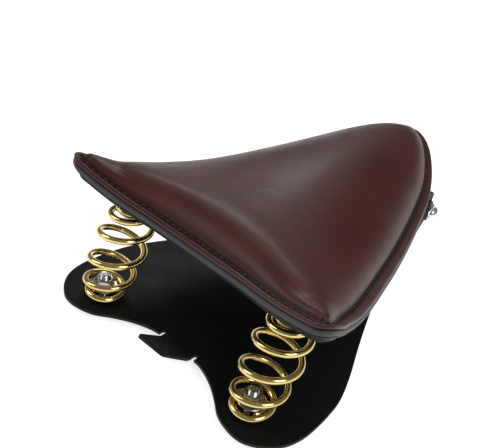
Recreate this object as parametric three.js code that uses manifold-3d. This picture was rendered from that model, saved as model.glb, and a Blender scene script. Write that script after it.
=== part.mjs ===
// Sprung solo saddle on a steel mounting plate. Millimetres; +X is the rider's right, +Y runs forward to
// the nose, +Z is up. While it is built, z = 0 is the top of the plate and y = 0 is the line through the
// two spring bolts; the whole group is set down on z = 0 and centred over the origin at the end.
import * as THREE from "three";
import { mergeVertices } from "three/addons/utils/BufferGeometryUtils.js";
import Module from "manifold-3d";

const wasm = await Module();
wasm.setup();

// ---- driving dimensions ----
const GAP = 0.3; // assembly clearance between touching pieces
const SPRING_SPACING = 151; // lower spring bolts, centre to centre
const SPRING_LEAN = 24; // how far the spring tops sit forward of their feet
const SPRING_SPLAY = 1.5; // how far each spring top sits outboard of its foot
const COIL_TILT = 0.17; // slope of the middle coils, which square up to the leaning spring
const SPRING_STACK = 73; // plate to pan boss
const WIRE = 5; // spring wire diameter
const PIVOT_Y = 259; // spring line to hinge axis
const PIVOT_DROP = 33; // hinge axis below the pan nose
const PLATE_T = 3;
const LOBE_REACH = 40; // plate edge outboard of the spring bolt
const PLATE_REAR = 24.5; // plate edge behind the spring bolt
const PLATE_NOSE = 3; // plate front edge ahead of the hinge axis
const TAB_LENGTH = 30;
const TAB_ANGLE = 35; // degrees up from the plate
const TAB_HALF = 15;
const TAB_HOLE = 8.5;
const WING_REACH = 41; // seat edge outboard of the spring top
const SEAT_REAR = 9; // seat rear edge behind the spring line
const NOSE_REACH = 34; // seat nose ahead of the hinge axis
const RIM_OVER_BOSS = 8.2; // rim at the seat centre above the pan boss
const WING_SWEEP = 0.0016; // upward sweep of the rear wings, per mm of half width squared
const SIDE_SWEEP = 0.0017; // how much of it is lost just forward of the wings
const NOSE_SWEEP = 0.008; // how much more is lost on the way to the nose, where the sides hang down
const NOSE_RISE = 0.045; // upward slope of the centre line, per mm forward
const DISH = 7; // depth of the pan below the rim
const PAN_T = 2;
const BAND_T = 5; // edge band
const BAND_W = 9;
const WALL_IN = 5; // pan wall inboard of the rim
const FLANGE_T = 3; // stitched cover edge
const LEATHER_T = 2;
const STITCH_IN = 7.8; // stitch line inboard of the rim
const THREAD = 1.2;
const CROWN = 15; // cushion height over the cover flange
const BRACKET_T = 3;
const EAR_HALF = 46; // middle of each base bracket ear
const EAR_RISE = 18; // ear top over the hinge axis
const HANGER_HALF = 22; // middle of each nose bracket ear
const SPRING_BOLT = 8; // M8 shank
const PIVOT_BOLT = 10;
const SCREW = 6; // M6 bracket screws
const HOLE_FIT = 0.4; // radial clearance of a bolt hole

// ---- sizes that follow from them ----
const FOOT_X = SPRING_SPACING / 2;
const HEAD_X = FOOT_X + SPRING_SPLAY;
const HEAD_Y = SPRING_LEAN;
const RIM_Z = SPRING_STACK + RIM_OVER_BOSS;
const SEAT_HALF = HEAD_X + WING_REACH;
const NOSE_Y = PIVOT_Y + NOSE_REACH;
const FLAT_HALF = 21; // half width of the level middle of the pan
const PIVOT_Z = panPlane(PIVOT_Y) - PIVOT_DROP;
const TWO_PI = Math.PI * 2;

// ---- heights of the curved seat, all over the plate ----
// Curvature of the rim across the seat: the wings turn up, the sides and the nose hang down.
function sweep(y) {
  const forward = (Math.hypot(y, 12) + y) / 2;
  const side = SIDE_SWEEP * (1 - Math.exp(-forward / 25));
  const nose = NOSE_SWEEP * (forward / PIVOT_Y) ** 1.3;
  return WING_SWEEP - side - nose;
}

function rimHeight(x, y) {
  return RIM_Z + NOSE_RISE * y + sweep(y) * x * x;
}

function panPlane(y) {
  return RIM_Z + NOSE_RISE * y - DISH;
}

function panUnder(x, y) {
  return panPlane(y) + sweep(y) * Math.max(0, x * x - FLAT_HALF * FLAT_HALF);
}

function panTop(x, y) {
  return panUnder(x, y) + PAN_T;
}

// Height of the padding: a bolster along the rear, a shallow seat dip, and a fuller nose.
function fullness(y) {
  const rear = 0.2 * Math.exp(-(((y - 30) / 34) ** 2));
  const dip = 0.12 * Math.exp(-(((y - 120) / 60) ** 2));
  return CROWN * (1 + rear - dip);
}

// ---- solids ----
function toManifold(geometry) {
  const bare = geometry.clone();
  bare.deleteAttribute("normal");
  bare.deleteAttribute("uv");
  const merged = mergeVertices(bare, 1e-4);
  const mesh = new wasm.Mesh({
    numProp: 3,
    vertProperties: new Float32Array(merged.attributes.position.array),
    triVerts: new Uint32Array(merged.index.array),
  });
  return new wasm.Manifold(mesh);
}

function toGeometry(solid) {
  const mesh = solid.getMesh();
  const position = new Float32Array(mesh.numVert * 3);
  for (let i = 0; i < mesh.numVert; i++) {
    position.set(mesh.vertProperties.subarray(i * mesh.numProp, i * mesh.numProp + 3), i * 3);
  }
  const geometry = new THREE.BufferGeometry();
  geometry.setAttribute("position", new THREE.BufferAttribute(position, 3));
  geometry.setIndex(new THREE.BufferAttribute(new Uint32Array(mesh.triVerts), 1));
  return geometry;
}

function join(first, ...rest) {
  return toGeometry(rest.reduce((solid, g) => solid.add(toManifold(g)), toManifold(first)));
}

function cut(body, ...tools) {
  return toGeometry(tools.reduce((solid, g) => solid.subtract(toManifold(g)), toManifold(body)));
}

function overlap(a, b) {
  return toGeometry(toManifold(a).intersect(toManifold(b)));
}

// Plan outline raised from z0 to z1.
function plate(points, z0, z1) {
  const shape = new THREE.Shape(points.map(([x, y]) => new THREE.Vector2(x, y)));
  const geometry = new THREE.ExtrudeGeometry(shape, { depth: z1 - z0, bevelEnabled: false });
  return geometry.translate(0, 0, z0);
}

// Side outline given as [y, z], thick from x0 to x1.
function slab(points, x0, x1) {
  const shape = new THREE.Shape(points.map(([y, z]) => new THREE.Vector2(y, z)));
  const geometry = new THREE.ExtrudeGeometry(shape, { depth: x1 - x0, bevelEnabled: false });
  geometry.applyMatrix4(
    new THREE.Matrix4().makeBasis(
      new THREE.Vector3(0, 1, 0),
      new THREE.Vector3(0, 0, 1),
      new THREE.Vector3(1, 0, 0),
    ),
  );
  return geometry.translate(x0, 0, 0);
}

// Upright round or hexagonal bar.
function bar(radius, z0, z1, sides = 16) {
  const geometry = new THREE.CylinderGeometry(radius, radius, z1 - z0, sides);
  return geometry.rotateX(Math.PI / 2).translate(0, 0, (z0 + z1) / 2);
}

function hex(acrossFlats, z0, z1) {
  return bar(acrossFlats / Math.sqrt(3), z0, z1, 6);
}

// Upright ring; its section is a rectangle.
function ring(inner, outer, z0, z1, sides = 16) {
  const section = [
    [inner, z0],
    [outer, z0],
    [outer, z1],
    [inner, z1],
    [inner, z0],
  ];
  const profile = section.map(([r, z]) => new THREE.Vector2(r, z));
  return new THREE.LatheGeometry(profile, sides).rotateX(Math.PI / 2);
}

// Upright solid of revolution from [radius, z] pairs that start and end on the axis.
function turned(section, sides = 16) {
  const profile = section.map(([r, z]) => new THREE.Vector2(r, z));
  return new THREE.LatheGeometry(profile, sides).rotateX(Math.PI / 2);
}

// Lay an upright piece along +X or -X through the hinge axis.
function onHinge(geometry, side = 1) {
  return geometry.rotateY((side * Math.PI) / 2).translate(0, PIVOT_Y, PIVOT_Z);
}

function nut(size, z0, z1) {
  const acrossFlats = size * 1.65;
  return cut(hex(acrossFlats, z0, z1), bar(size / 2 + HOLE_FIT / 2, z0 - 1, z1 + 1));
}

// ---- plan outlines ----
// Right half, rear centre to front centre: x in half widths, y from 0 at the rear to 1 at the front.
function closedOutline(half, halfWidth, rear, front, count) {
  const right = half.map(([x, y]) => new THREE.Vector2(x * halfWidth, rear + y * (front - rear)));
  const left = right
    .slice(1, -1)
    .reverse()
    .map((p) => new THREE.Vector2(-p.x, p.y));
  const loop = [...right, ...left].map((p) => new THREE.Vector3(p.x, p.y, 0));
  const curve = new THREE.CatmullRomCurve3(loop, true, "centripetal");
  curve.arcLengthDivisions = 2000;
  const points = curve.getSpacedPoints(count).slice(0, count);
  return points.map((p, i) => {
    const twin = points[(count - i) % count];
    return [(p.x - twin.x) / 2, (p.y + twin.y) / 2];
  });
}

const SEAT_SHAPE = [
  [0, 0.044],
  [0.34, 0.038],
  [0.55, 0.024],
  [0.72, 0.012],
  [0.85, 0.003],
  [0.93, 0],
  [0.983, 0.013],
  [1, 0.043],
  [0.992, 0.079],
  [0.966, 0.122],
  [0.932, 0.194],
  [0.885, 0.273],
  [0.805, 0.391],
  [0.715, 0.523],
  [0.61, 0.661],
  [0.542, 0.74],
  [0.475, 0.812],
  [0.41, 0.86],
  [0.325, 0.908],
  [0.212, 0.957],
  [0.1, 0.988],
  [0, 1],
];

const PLATE_SHAPE = [
  [0, 0.103],
  [0.14, 0.103],
  [0.21, 0.1],
  [0.345, 0.078],
  [0.46, 0.047],
  [0.56, 0.016],
  [0.69, 0],
  [0.78, 0.002],
  [0.855, 0.018],
  [0.915, 0.04],
  [0.965, 0.072],
  [0.995, 0.117],
  [1, 0.16],
  [0.99, 0.225],
  [0.965, 0.29],
  [0.895, 0.372],
  [0.793, 0.466],
  [0.724, 0.53],
  [0.595, 0.658],
  [0.5, 0.75],
  [0.43, 0.87],
  [0.39, 0.95],
  [0.31, 0.99],
  [0.2, 1],
  [0, 1],
];

// ---- seat shell: rings of vertices that follow the seat outline ----
const RIM_COUNT = 56;
const INSET_LIMIT = 14;
const seatOutline = closedOutline(SEAT_SHAPE, SEAT_HALF, -SEAT_REAR, NOSE_Y, RIM_COUNT);
const SPINE_REAR = 0.25 * NOSE_Y;
const SPINE_FRONT = 0.76 * NOSE_Y;

// Plan position of rim vertex i moved inwards: square to the rim at first, then towards the spine.
function inward(i, distance) {
  const [x, y] = seatOutline[i];
  const [ax, ay] = seatOutline[(i + RIM_COUNT - 1) % RIM_COUNT];
  const [bx, by] = seatOutline[(i + 1) % RIM_COUNT];
  const length = Math.hypot(bx - ax, by - ay);
  const nx = -(by - ay) / length;
  const ny = (bx - ax) / length;
  const square = Math.min(distance, INSET_LIMIT);
  const edge = [x + nx * square, y + ny * square];
  if (distance <= INSET_LIMIT) {
    return edge;
  }
  const spine = spinePoint(i);
  const reach = Math.hypot(spine[0] - edge[0], spine[1] - edge[1]);
  const share = Math.min(1, (distance - INSET_LIMIT) / reach);
  return [edge[0] + (spine[0] - edge[0]) * share, edge[1] + (spine[1] - edge[1]) * share];
}

function spinePoint(i) {
  const share = (seatOutline[i][1] + SEAT_REAR) / (NOSE_Y + SEAT_REAR);
  return [0, SPINE_REAR + (SPINE_FRONT - SPINE_REAR) * share];
}

function spineReach(i) {
  const [x, y] = inward(i, INSET_LIMIT);
  const spine = spinePoint(i);
  return Math.hypot(spine[0] - x, spine[1] - y);
}

// A ring at a fixed distance inside the rim.
function rimRing(distance, height) {
  return seatOutline.map((_, i) => {
    const [x, y] = inward(i, distance);
    return [x, y, height(x, y, distance)];
  });
}

// A ring part of the way from the rim zone to the spine; share 1 is the spine itself.
function innerRing(share, height) {
  return seatOutline.map((_, i) => {
    const distance = INSET_LIMIT + share * spineReach(i);
    const [x, y] = inward(i, distance);
    return [x, y, height(x, y, distance)];
  });
}

// Closed skin over successive rings; the first and last ring collapse on the spine unless it loops.
function skin(rings, loops = false) {
  const position = rings.flat(2);
  const spread = (p, q) =>
    Math.hypot(...[0, 1, 2].map((axis) => position[p * 3 + axis] - position[q * 3 + axis]));
  const index = [];
  const last = loops ? rings.length : rings.length - 1;
  for (let k = 0; k < last; k++) {
    const next = (k + 1) % rings.length;
    for (let i = 0; i < RIM_COUNT; i++) {
      const j = (i + 1) % RIM_COUNT;
      const a = k * RIM_COUNT + i;
      const b = k * RIM_COUNT + j;
      const c = next * RIM_COUNT + j;
      const d = next * RIM_COUNT + i;
      if (spread(a, c) <= spread(b, d)) {
        index.push(a, b, c, a, c, d);
      } else {
        index.push(a, b, d, b, c, d);
      }
    }
  }
  const raw = new THREE.BufferGeometry();
  raw.setAttribute("position", new THREE.Float32BufferAttribute(position, 3));
  raw.setIndex(index);
  const merged = mergeVertices(raw, 1e-3);
  const kept = [];
  const v = merged.index.array;
  for (let t = 0; t < v.length; t += 3) {
    if (v[t] !== v[t + 1] && v[t + 1] !== v[t + 2] && v[t] !== v[t + 2]) {
      kept.push(v[t], v[t + 1], v[t + 2]);
    }
  }
  merged.setIndex(volumeOf(merged, kept) < 0 ? kept.reverse() : kept);
  return merged;
}

// Signed volume of a closed skin; below zero when its faces point inwards.
function volumeOf(geometry, index) {
  const at = (k) => new THREE.Vector3().fromBufferAttribute(geometry.attributes.position, k);
  let volume = 0;
  for (let t = 0; t < index.length; t += 3) {
    volume += at(index[t]).dot(at(index[t + 1]).cross(at(index[t + 2]))) / 6;
  }
  return volume;
}

// ---- cushion section ----
const FLANGE_BOTTOM = BAND_T + GAP; // over the rim
const FLANGE_TOP = FLANGE_BOTTOM + FLANGE_T;
const SHOULDER_FROM = STITCH_IN + 1.8; // the padding rises from here
const SHOULDER_WIDTH = 52;

function roundness(distance) {
  const u = Math.min(1, Math.max(0, (distance - SHOULDER_FROM) / SHOULDER_WIDTH));
  return (1 - (1 - u) ** 2.2) ** (1 / 2.2);
}

function coverTop(x, y, distance) {
  return rimHeight(x, y) + FLANGE_TOP + fullness(y) * roundness(distance);
}

// The cover surface pushed in by a depth, square to itself: distance and height after the push.
function pushed(i, distance, depth) {
  const step = 0.5;
  const [x0, y0] = inward(i, distance - step);
  const [x1, y1] = inward(i, distance + step);
  const rise = fullness(y1) * roundness(distance + step) - fullness(y0) * roundness(distance - step);
  const run = 2 * step;
  const length = Math.hypot(rise, run);
  const [, y] = inward(i, distance);
  const top = FLANGE_TOP + fullness(y) * roundness(distance);
  return [distance + (depth * rise) / length, top - (depth * run) / length];
}

function pushedRing(distanceOf, depth, floor) {
  return seatOutline.map((_, i) => {
    const distance = distanceOf(i);
    const [inset, height] = pushed(i, distance, depth);
    const [x, y] = inward(i, inset);
    return [x, y, rimHeight(x, y) + Math.max(height, floor)];
  });
}

const SHOULDER_STEPS = [11, 13.5, 17, 23, 32];
const INNER_STEPS = [0.42, 0.68, 1];
const FLOOR_STEPS = [0.14, 0.4, 0.7, 1];

function leatherCover() {
  const over = (lift) => (x, y) => rimHeight(x, y) + lift;
  const outer = [
    rimRing(0.5, over(FLANGE_BOTTOM + 0.6)),
    rimRing(0.5, over(FLANGE_TOP - 0.6)),
    rimRing(1.1, over(FLANGE_TOP)),
    rimRing(STITCH_IN - 1.2, over(FLANGE_TOP)),
    rimRing(STITCH_IN, over(FLANGE_TOP - 0.9)),
    rimRing(STITCH_IN + 1.2, over(FLANGE_TOP - 0.6)),
    ...SHOULDER_STEPS.map((d) => rimRing(d, coverTop)),
    ...INNER_STEPS.map((s) => innerRing(s, coverTop)),
  ];
  const inner = [
    ...INNER_STEPS.map((s) => innerRing(s, (x, y, d) => coverTop(x, y, d) - LEATHER_T)).reverse(),
    ...SHOULDER_STEPS.slice(1)
      .reverse()
      .map((d) => pushedRing(() => d, LEATHER_T, FLANGE_BOTTOM + 2)),
    rimRing(SHOULDER_FROM + 3, over(FLANGE_BOTTOM + 4.5)),
    rimRing(SHOULDER_FROM + 1.4, over(FLANGE_BOTTOM)),
    rimRing(BAND_W, over(FLANGE_BOTTOM)),
    rimRing(1, over(FLANGE_BOTTOM)),
  ];
  return skin([...outer, ...inner], true);
}

function foamPad() {
  const depth = LEATHER_T + GAP;
  const over = (lift) => (x, y) => rimHeight(x, y) + lift;
  const bottom = (x, y) => panTop(x, y) + GAP;
  const rings = [
    ...INNER_STEPS.map((s) => innerRing(s, (x, y, d) => coverTop(x, y, d) - depth)).reverse(),
    ...SHOULDER_STEPS.slice(1)
      .reverse()
      .map((d) => pushedRing(() => d, depth, FLANGE_BOTTOM + 1.4)),
    rimRing(SHOULDER_FROM + 3.4, over(FLANGE_BOTTOM + 4.4)),
    rimRing(SHOULDER_FROM + 1.7, over(FLANGE_BOTTOM - GAP)),
    rimRing(BAND_W + 0.4, over(FLANGE_BOTTOM - GAP - 0.1)),
    rimRing(BAND_W + 0.4, over(-GAP)),
    rimRing(FLOOR_IN, bottom),
    ...FLOOR_STEPS.map((s) => innerRing(s, bottom)),
  ];
  const pad = skin(rings);
  const pockets = [-1, 1].map((side) =>
    bar(BOSS_R + 0.5, BOSS_TOP - 8, BOSS_TOP + GAP + HEAD_T + 1.5).translate(side * HEAD_X, HEAD_Y, 0),
  );
  const screwPockets = hangerScrews().map(([x, y]) =>
    bar(9, panPlane(y), panPlane(y) + PAN_T + 7.5).translate(x, y, 0),
  );
  return cut(pad, ...pockets, ...screwPockets);
}

const FLOOR_IN = WALL_IN + PAN_T + 2.6; // level floor of the pan inboard of the rim
const HEAD_T = 3.5; // low bolt heads inside the pan
const HEAD_R = 8;
const BOSS_R = 11.5;
const BOSS_TOP = panTop(HEAD_X + HEAD_R, HEAD_Y - HEAD_R) + 0.6;

function hangerScrews() {
  const y0 = PIVOT_Y - 24;
  const y1 = PIVOT_Y + 8;
  return [
    [-11, y0],
    [11, y0],
    [0, y1],
  ];
}

function seatPan() {
  const over = (lift) => (x, y) => rimHeight(x, y) + lift;
  const rings = [
    ...FLOOR_STEPS.map((s) => innerRing(s, panTop)).reverse(),
    rimRing(FLOOR_IN, panTop),
    rimRing(WALL_IN + PAN_T + 0.4, (x, y) => panTop(x, y) + 1),
    rimRing(WALL_IN + PAN_T, over(-GAP)),
    rimRing(2, over(-GAP)),
    rimRing(2, over(-GAP - PAN_T)),
    rimRing(WALL_IN, over(-GAP - PAN_T)),
    rimRing(WALL_IN + 0.4, (x, y) => panUnder(x, y) + 0.6),
    rimRing(WALL_IN + 2.5, panUnder),
    ...FLOOR_STEPS.map((s) => innerRing(s, panUnder)),
  ];
  const shell = skin(rings);
  const bosses = [-1, 1].map((side) =>
    bar(BOSS_R, SPRING_STACK, BOSS_TOP, 32).translate(side * HEAD_X, HEAD_Y, 0),
  );
  const padSection = [
    [HANGER_REAR - 3, panPlane(HANGER_REAR - 3) - PAD_DROP],
    [NOSE_Y - 12, panPlane(NOSE_Y - 12) - PAD_DROP],
    [NOSE_Y - 12, panPlane(NOSE_Y - 12) + 0.3],
    [HANGER_REAR - 3, panPlane(HANGER_REAR - 3) + 0.3],
  ];
  const nosePad = overlap(slab(padSection, -22.5, 22.5), plate(offsetSeat(BAND_W), 0, 200));
  const holes = [-1, 1].map((side) =>
    bar(SPRING_BOLT / 2 + HOLE_FIT, SPRING_STACK - 5, BOSS_TOP + 5).translate(side * HEAD_X, HEAD_Y, 0),
  );
  const screwHoles = hangerScrews().map(([x, y]) =>
    bar(SCREW / 2 + HOLE_FIT, panPlane(y) - 20, panPlane(y) + 20).translate(x, y, 0),
  );
  return cut(join(shell, ...bosses, nosePad), ...holes, ...screwHoles);
}

function offsetSeat(distance) {
  return seatOutline.map((_, i) => inward(i, distance));
}

function edgeBand() {
  const over = (lift) => (x, y) => rimHeight(x, y) + lift;
  const rings = [
    rimRing(1, over(0)),
    rimRing(0, over(1)),
    rimRing(0, over(BAND_T - 1)),
    rimRing(1, over(BAND_T)),
    rimRing(BAND_W, over(BAND_T)),
    rimRing(BAND_W, over(0)),
    rimRing(WALL_IN + PAN_T, over(0)),
    rimRing(2, over(0)),
  ];
  return skin(rings, true);
}

function coverStitching() {
  const r = THREAD / 2;
  const centre = FLANGE_TOP - 0.9 + GAP + r + 0.35;
  const rings = [];
  for (let k = 0; k < 6; k++) {
    const a = (k / 6) * TWO_PI;
    rings.push(
      rimRing(STITCH_IN + r * Math.cos(a), (x, y) => rimHeight(x, y) + centre + r * Math.sin(a)),
    );
  }
  return skin(rings, true);
}

// ---- mounting plate ----
const plateOutline = closedOutline(
  PLATE_SHAPE,
  FOOT_X + LOBE_REACH,
  -PLATE_REAR,
  PIVOT_Y + PLATE_NOSE,
  96,
);
const TAB_ROOT = 5;

function tabSection() {
  const up = (TAB_ANGLE * Math.PI) / 180;
  const bend = 6; // inside radius of the bend
  const under = [];
  const over = [];
  for (let k = 0; k <= 5; k++) {
    const a = (up * k) / 5;
    over.push([TAB_ROOT - bend * Math.sin(a), bend * (1 - Math.cos(a))]);
    const r = bend + PLATE_T;
    under.push([TAB_ROOT - r * Math.sin(a), bend - r * Math.cos(a)]);
  }
  const along = [-Math.cos(up) * TAB_LENGTH, Math.sin(up) * TAB_LENGTH];
  const lastOver = over[5];
  const lastUnder = under[5];
  return [
    [TAB_ROOT + 8, -PLATE_T],
    [TAB_ROOT + 8, 0],
    ...over,
    [lastOver[0] + along[0], lastOver[1] + along[1]],
    [lastUnder[0] + along[0], lastUnder[1] + along[1]],
    ...under.reverse(),
  ];
}

function tabCentre() {
  const up = (TAB_ANGLE * Math.PI) / 180;
  const out = TAB_LENGTH * 0.56;
  const bend = 6 + PLATE_T / 2;
  const y = TAB_ROOT - bend * Math.sin(up) - Math.cos(up) * out;
  const z = 6 - bend * Math.cos(up) + Math.sin(up) * out;
  return [y, z];
}

function basePlate() {
  const flat = plate(plateOutline, -PLATE_T, 0);
  const reach = TAB_ROOT - 60;
  const taper = plate(
    [
      [-TAB_HALF, TAB_ROOT + 8],
      [-TAB_HALF, TAB_ROOT],
      [-TAB_HALF + 3.5, reach],
      [TAB_HALF - 3.5, reach],
      [TAB_HALF, TAB_ROOT],
      [TAB_HALF, TAB_ROOT + 8],
    ],
    -20,
    80,
  );
  const tab = overlap(slab(tabSection().reverse(), -30, 30), taper);
  const [ty, tz] = tabCentre();
  const tabHole = bar(TAB_HOLE / 2, -20, 20)
    .rotateX((-TAB_ANGLE * Math.PI) / 180)
    .translate(0, ty, tz);
  const notches = [-1, 1].map((side) => {
    const x = side * (TAB_HALF + 1.5);
    return plate(
      [
        [x - 1.5, -20],
        [x + 1.5, -20],
        [x + 1.5, TAB_ROOT + 5],
        [x - 1.5, TAB_ROOT + 5],
      ],
      -9,
      9,
    );
  });
  const springHoles = [-1, 1].map((side) =>
    bar(SPRING_BOLT / 2 + HOLE_FIT, -9, 9).translate(side * FOOT_X, 0, 0),
  );
  const screwHoles = webScrews().map(([x, y]) => bar(SCREW / 2 + HOLE_FIT, -9, 9).translate(x, y, 0));
  const frameHoles = frameBolts().map(([x, y]) => bar(TAB_HOLE / 2, -9, 9).translate(x, y, 0));
  const notched = cut(flat, ...notches);
  return cut(join(notched, tab), tabHole, ...springHoles, ...screwHoles, ...frameHoles);
}

// Two bolts hold the base bracket down.
function webScrews() {
  return [
    [-24, WEB_REAR + 22],
    [24, WEB_REAR + 22],
  ];
}

// Two holes take the bolts that fasten the plate to a frame.
function frameBolts() {
  return [
    [-30, PIVOT_Y / 2],
    [30, PIVOT_Y / 2],
  ];
}

// ---- hinge brackets ----
const WEB_REAR = PIVOT_Y - 64;
const WEB_FRONT = PIVOT_Y - 21;
const HANGER_REAR = PIVOT_Y - 37;
const PAD_DROP = 2.3;
const EAR_TOP = PIVOT_Z + EAR_RISE;

function baseBracket() {
  const half = EAR_HALF + BRACKET_T / 2;
  const web = plate(
    [
      [-half, WEB_REAR],
      [half, WEB_REAR],
      [half, WEB_FRONT],
      [-half, WEB_FRONT],
    ],
    GAP,
    GAP + BRACKET_T,
  );
  const ear = [
    [WEB_REAR, GAP],
    [WEB_FRONT, GAP],
    [PIVOT_Y + 5, PIVOT_Z - 14],
    [PIVOT_Y + 7, PIVOT_Z - 8],
    [PIVOT_Y + 7, EAR_TOP - 5],
    [PIVOT_Y + 5.5, EAR_TOP - 1.5],
    [PIVOT_Y + 2, EAR_TOP],
    [PIVOT_Y - 12, EAR_TOP],
    [PIVOT_Y - 16, EAR_TOP - 3],
    [WEB_REAR + 4, GAP + BRACKET_T + 6],
    [WEB_REAR, GAP + BRACKET_T + 1],
  ];
  const ears = [-1, 1].map((side) =>
    slab(ear, side * EAR_HALF - BRACKET_T / 2, side * EAR_HALF + BRACKET_T / 2),
  );
  const bore = onHinge(bar(PIVOT_BOLT / 2 + HOLE_FIT, -80, 80));
  const screwHoles = webScrews().map(([x, y]) => bar(SCREW / 2 + HOLE_FIT, -9, 12).translate(x, y, 0));
  return cut(join(web, ...ears), bore, ...screwHoles);
}

function noseBracket() {
  const half = HANGER_HALF + BRACKET_T / 2;
  const front = NOSE_Y + 12;
  const top = (y) => panPlane(y) - PAD_DROP - GAP;
  const section = [
    [HANGER_REAR, top(HANGER_REAR) - BRACKET_T],
    [front, top(front) - BRACKET_T],
    [front, top(front)],
    [HANGER_REAR, top(HANGER_REAR)],
  ];
  const outline = [
    [-half, HANGER_REAR],
    [half, HANGER_REAR],
    [half, PIVOT_Y + 19],
    [15, front - 3],
    [12, front],
    [-12, front],
    [-15, front - 3],
    [-half, PIVOT_Y + 19],
  ];
  const web = overlap(slab(section, -60, 60), plate(outline, 0, 200));
  const ear = [
    [HANGER_REAR + 8, top(HANGER_REAR + 8) - 1],
    [PIVOT_Y - 13, PIVOT_Z],
  ];
  for (let k = 1; k < 8; k++) {
    const a = Math.PI + (k / 8) * Math.PI;
    ear.push([PIVOT_Y + 13 * Math.cos(a), PIVOT_Z + 13 * Math.sin(a)]);
  }
  ear.push([PIVOT_Y + 13, PIVOT_Z]);
  ear.push([PIVOT_Y + 13, top(PIVOT_Y + 13) - 1]);
  const ears = [-1, 1].map((side) =>
    slab(ear, side * HANGER_HALF - BRACKET_T / 2, side * HANGER_HALF + BRACKET_T / 2),
  );
  const bore = onHinge(bar(PIVOT_BOLT / 2 + HOLE_FIT, -80, 80));
  const screwHoles = hangerScrews().map(([x, y]) =>
    bar(SCREW / 2 + HOLE_FIT, top(y) - 12, top(y) + 12).translate(x, y, 0),
  );
  return cut(join(web, ...ears), bore, ...screwHoles);
}

// ---- springs ----
const SEAT_RING_T = 2.4;
const SPRING_FOOT = GAP + SEAT_RING_T + GAP;
const SPRING_TOP = SPRING_STACK - GAP;
const COILS = 6;

// Centre line of one barrel spring: flat end turns that spiral outwards into tilted middle coils.
class SpringPath extends THREE.Curve {
  constructor(side) {
    super();
    this.side = side;
  }

  getPoint(t, target = new THREE.Vector3()) {
    const turn = t * COILS;
    const low = SPRING_FOOT + WIRE / 2;
    const high = SPRING_TOP - WIRE / 2;
    const rise = THREE.MathUtils.clamp((turn - 0.95) / (COILS - 1.9), 0, 1);
    const eased = rise + (Math.sin(TWO_PI * rise) * -0.3) / TWO_PI;
    const z = low + (high - low) * eased;
    const end = Math.min(turn, COILS - turn);
    const radius = 8.6 + 10.2 * Math.min(1, end / 2.35) ** 0.75;
    const angle = this.side * -0.6 + turn * TWO_PI;
    const tilt = COIL_TILT * THREE.MathUtils.smoothstep(end, 0.95, 2.3);
    const x = this.side * (FOOT_X + SPRING_SPLAY * eased) + radius * Math.cos(angle);
    const y = SPRING_LEAN * eased + radius * Math.sin(angle);
    return target.set(x, y, z - tilt * radius * Math.sin(angle));
  }
}

function spring(side) {
  const section = [];
  for (let k = 0; k < 6; k++) {
    const a = (k / 6) * TWO_PI;
    section.push(new THREE.Vector2((WIRE / 2) * Math.cos(a), (WIRE / 2) * Math.sin(a)));
  }
  return new THREE.ExtrudeGeometry(new THREE.Shape(section), {
    steps: COILS * 20,
    bevelEnabled: false,
    extrudePath: new SpringPath(side),
  });
}

// ---- fasteners ----
const WASHER_T = 1.6;

function springSeatRing(side) {
  const shape = ring(SPRING_BOLT / 2 + HOLE_FIT, 11.5, GAP, GAP + SEAT_RING_T);
  return shape.translate(side * FOOT_X, 0, 0);
}

const CLAMP_LOW = SPRING_FOOT + WIRE + GAP;
const NUT_T = 6.5;
const LOWER_END = CLAMP_LOW + WASHER_T + GAP + NUT_T + 3;

function lowerBolt(side) {
  const head = hex(SPRING_BOLT * 1.65, -PLATE_T - GAP - 6, -PLATE_T - GAP);
  const shank = bar(SPRING_BOLT / 2, -PLATE_T - GAP - 2, LOWER_END);
  return join(head, shank).translate(side * FOOT_X, 0, 0);
}

function lowerWasher(side) {
  const shape = ring(SPRING_BOLT / 2 + HOLE_FIT, 10, CLAMP_LOW, CLAMP_LOW + WASHER_T);
  return shape.translate(side * FOOT_X, 0, 0);
}

function lowerNut(side) {
  const z = CLAMP_LOW + WASHER_T + GAP;
  return nut(SPRING_BOLT, z, z + NUT_T).translate(side * FOOT_X, 0, 0);
}

const CLAMP_HIGH = SPRING_TOP - WIRE - GAP;
const UPPER_END = CLAMP_HIGH - WASHER_T - GAP - NUT_T - 3;

function upperBolt(side) {
  const shape = turned([
    [0, UPPER_END],
    [SPRING_BOLT / 2, UPPER_END],
    [SPRING_BOLT / 2, BOSS_TOP + GAP],
    [HEAD_R, BOSS_TOP + GAP],
    [HEAD_R - 1, BOSS_TOP + GAP + HEAD_T * 0.6],
    [5, BOSS_TOP + GAP + HEAD_T],
    [0, BOSS_TOP + GAP + HEAD_T],
  ]);
  return shape.translate(side * HEAD_X, HEAD_Y, 0);
}

function upperWasher(side) {
  const shape = ring(SPRING_BOLT / 2 + HOLE_FIT, 10, CLAMP_HIGH - WASHER_T, CLAMP_HIGH);
  return shape.translate(side * HEAD_X, HEAD_Y, 0);
}

function upperNut(side) {
  const z = CLAMP_HIGH - WASHER_T - GAP;
  return nut(SPRING_BOLT, z - NUT_T, z).translate(side * HEAD_X, HEAD_Y, 0);
}

function webBolt([x, y]) {
  const top = GAP + BRACKET_T + GAP;
  const head = hex(SCREW * 1.65, top, top + 4);
  const shank = bar(SCREW / 2, -PLATE_T - GAP - 6, top + 2);
  return join(head, shank).translate(x, y, 0);
}

function webNut([x, y]) {
  return nut(SCREW, -PLATE_T - GAP - 5, -PLATE_T - GAP).translate(x, y, 0);
}

// Pan bolts follow the slope of the nose plane.
function tilted(geometry, [x, y]) {
  const slope = Math.atan2(panPlane(y + 1) - panPlane(y - 1), 2);
  return geometry.rotateX(slope).translate(x, y, panPlane(y));
}

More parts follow.
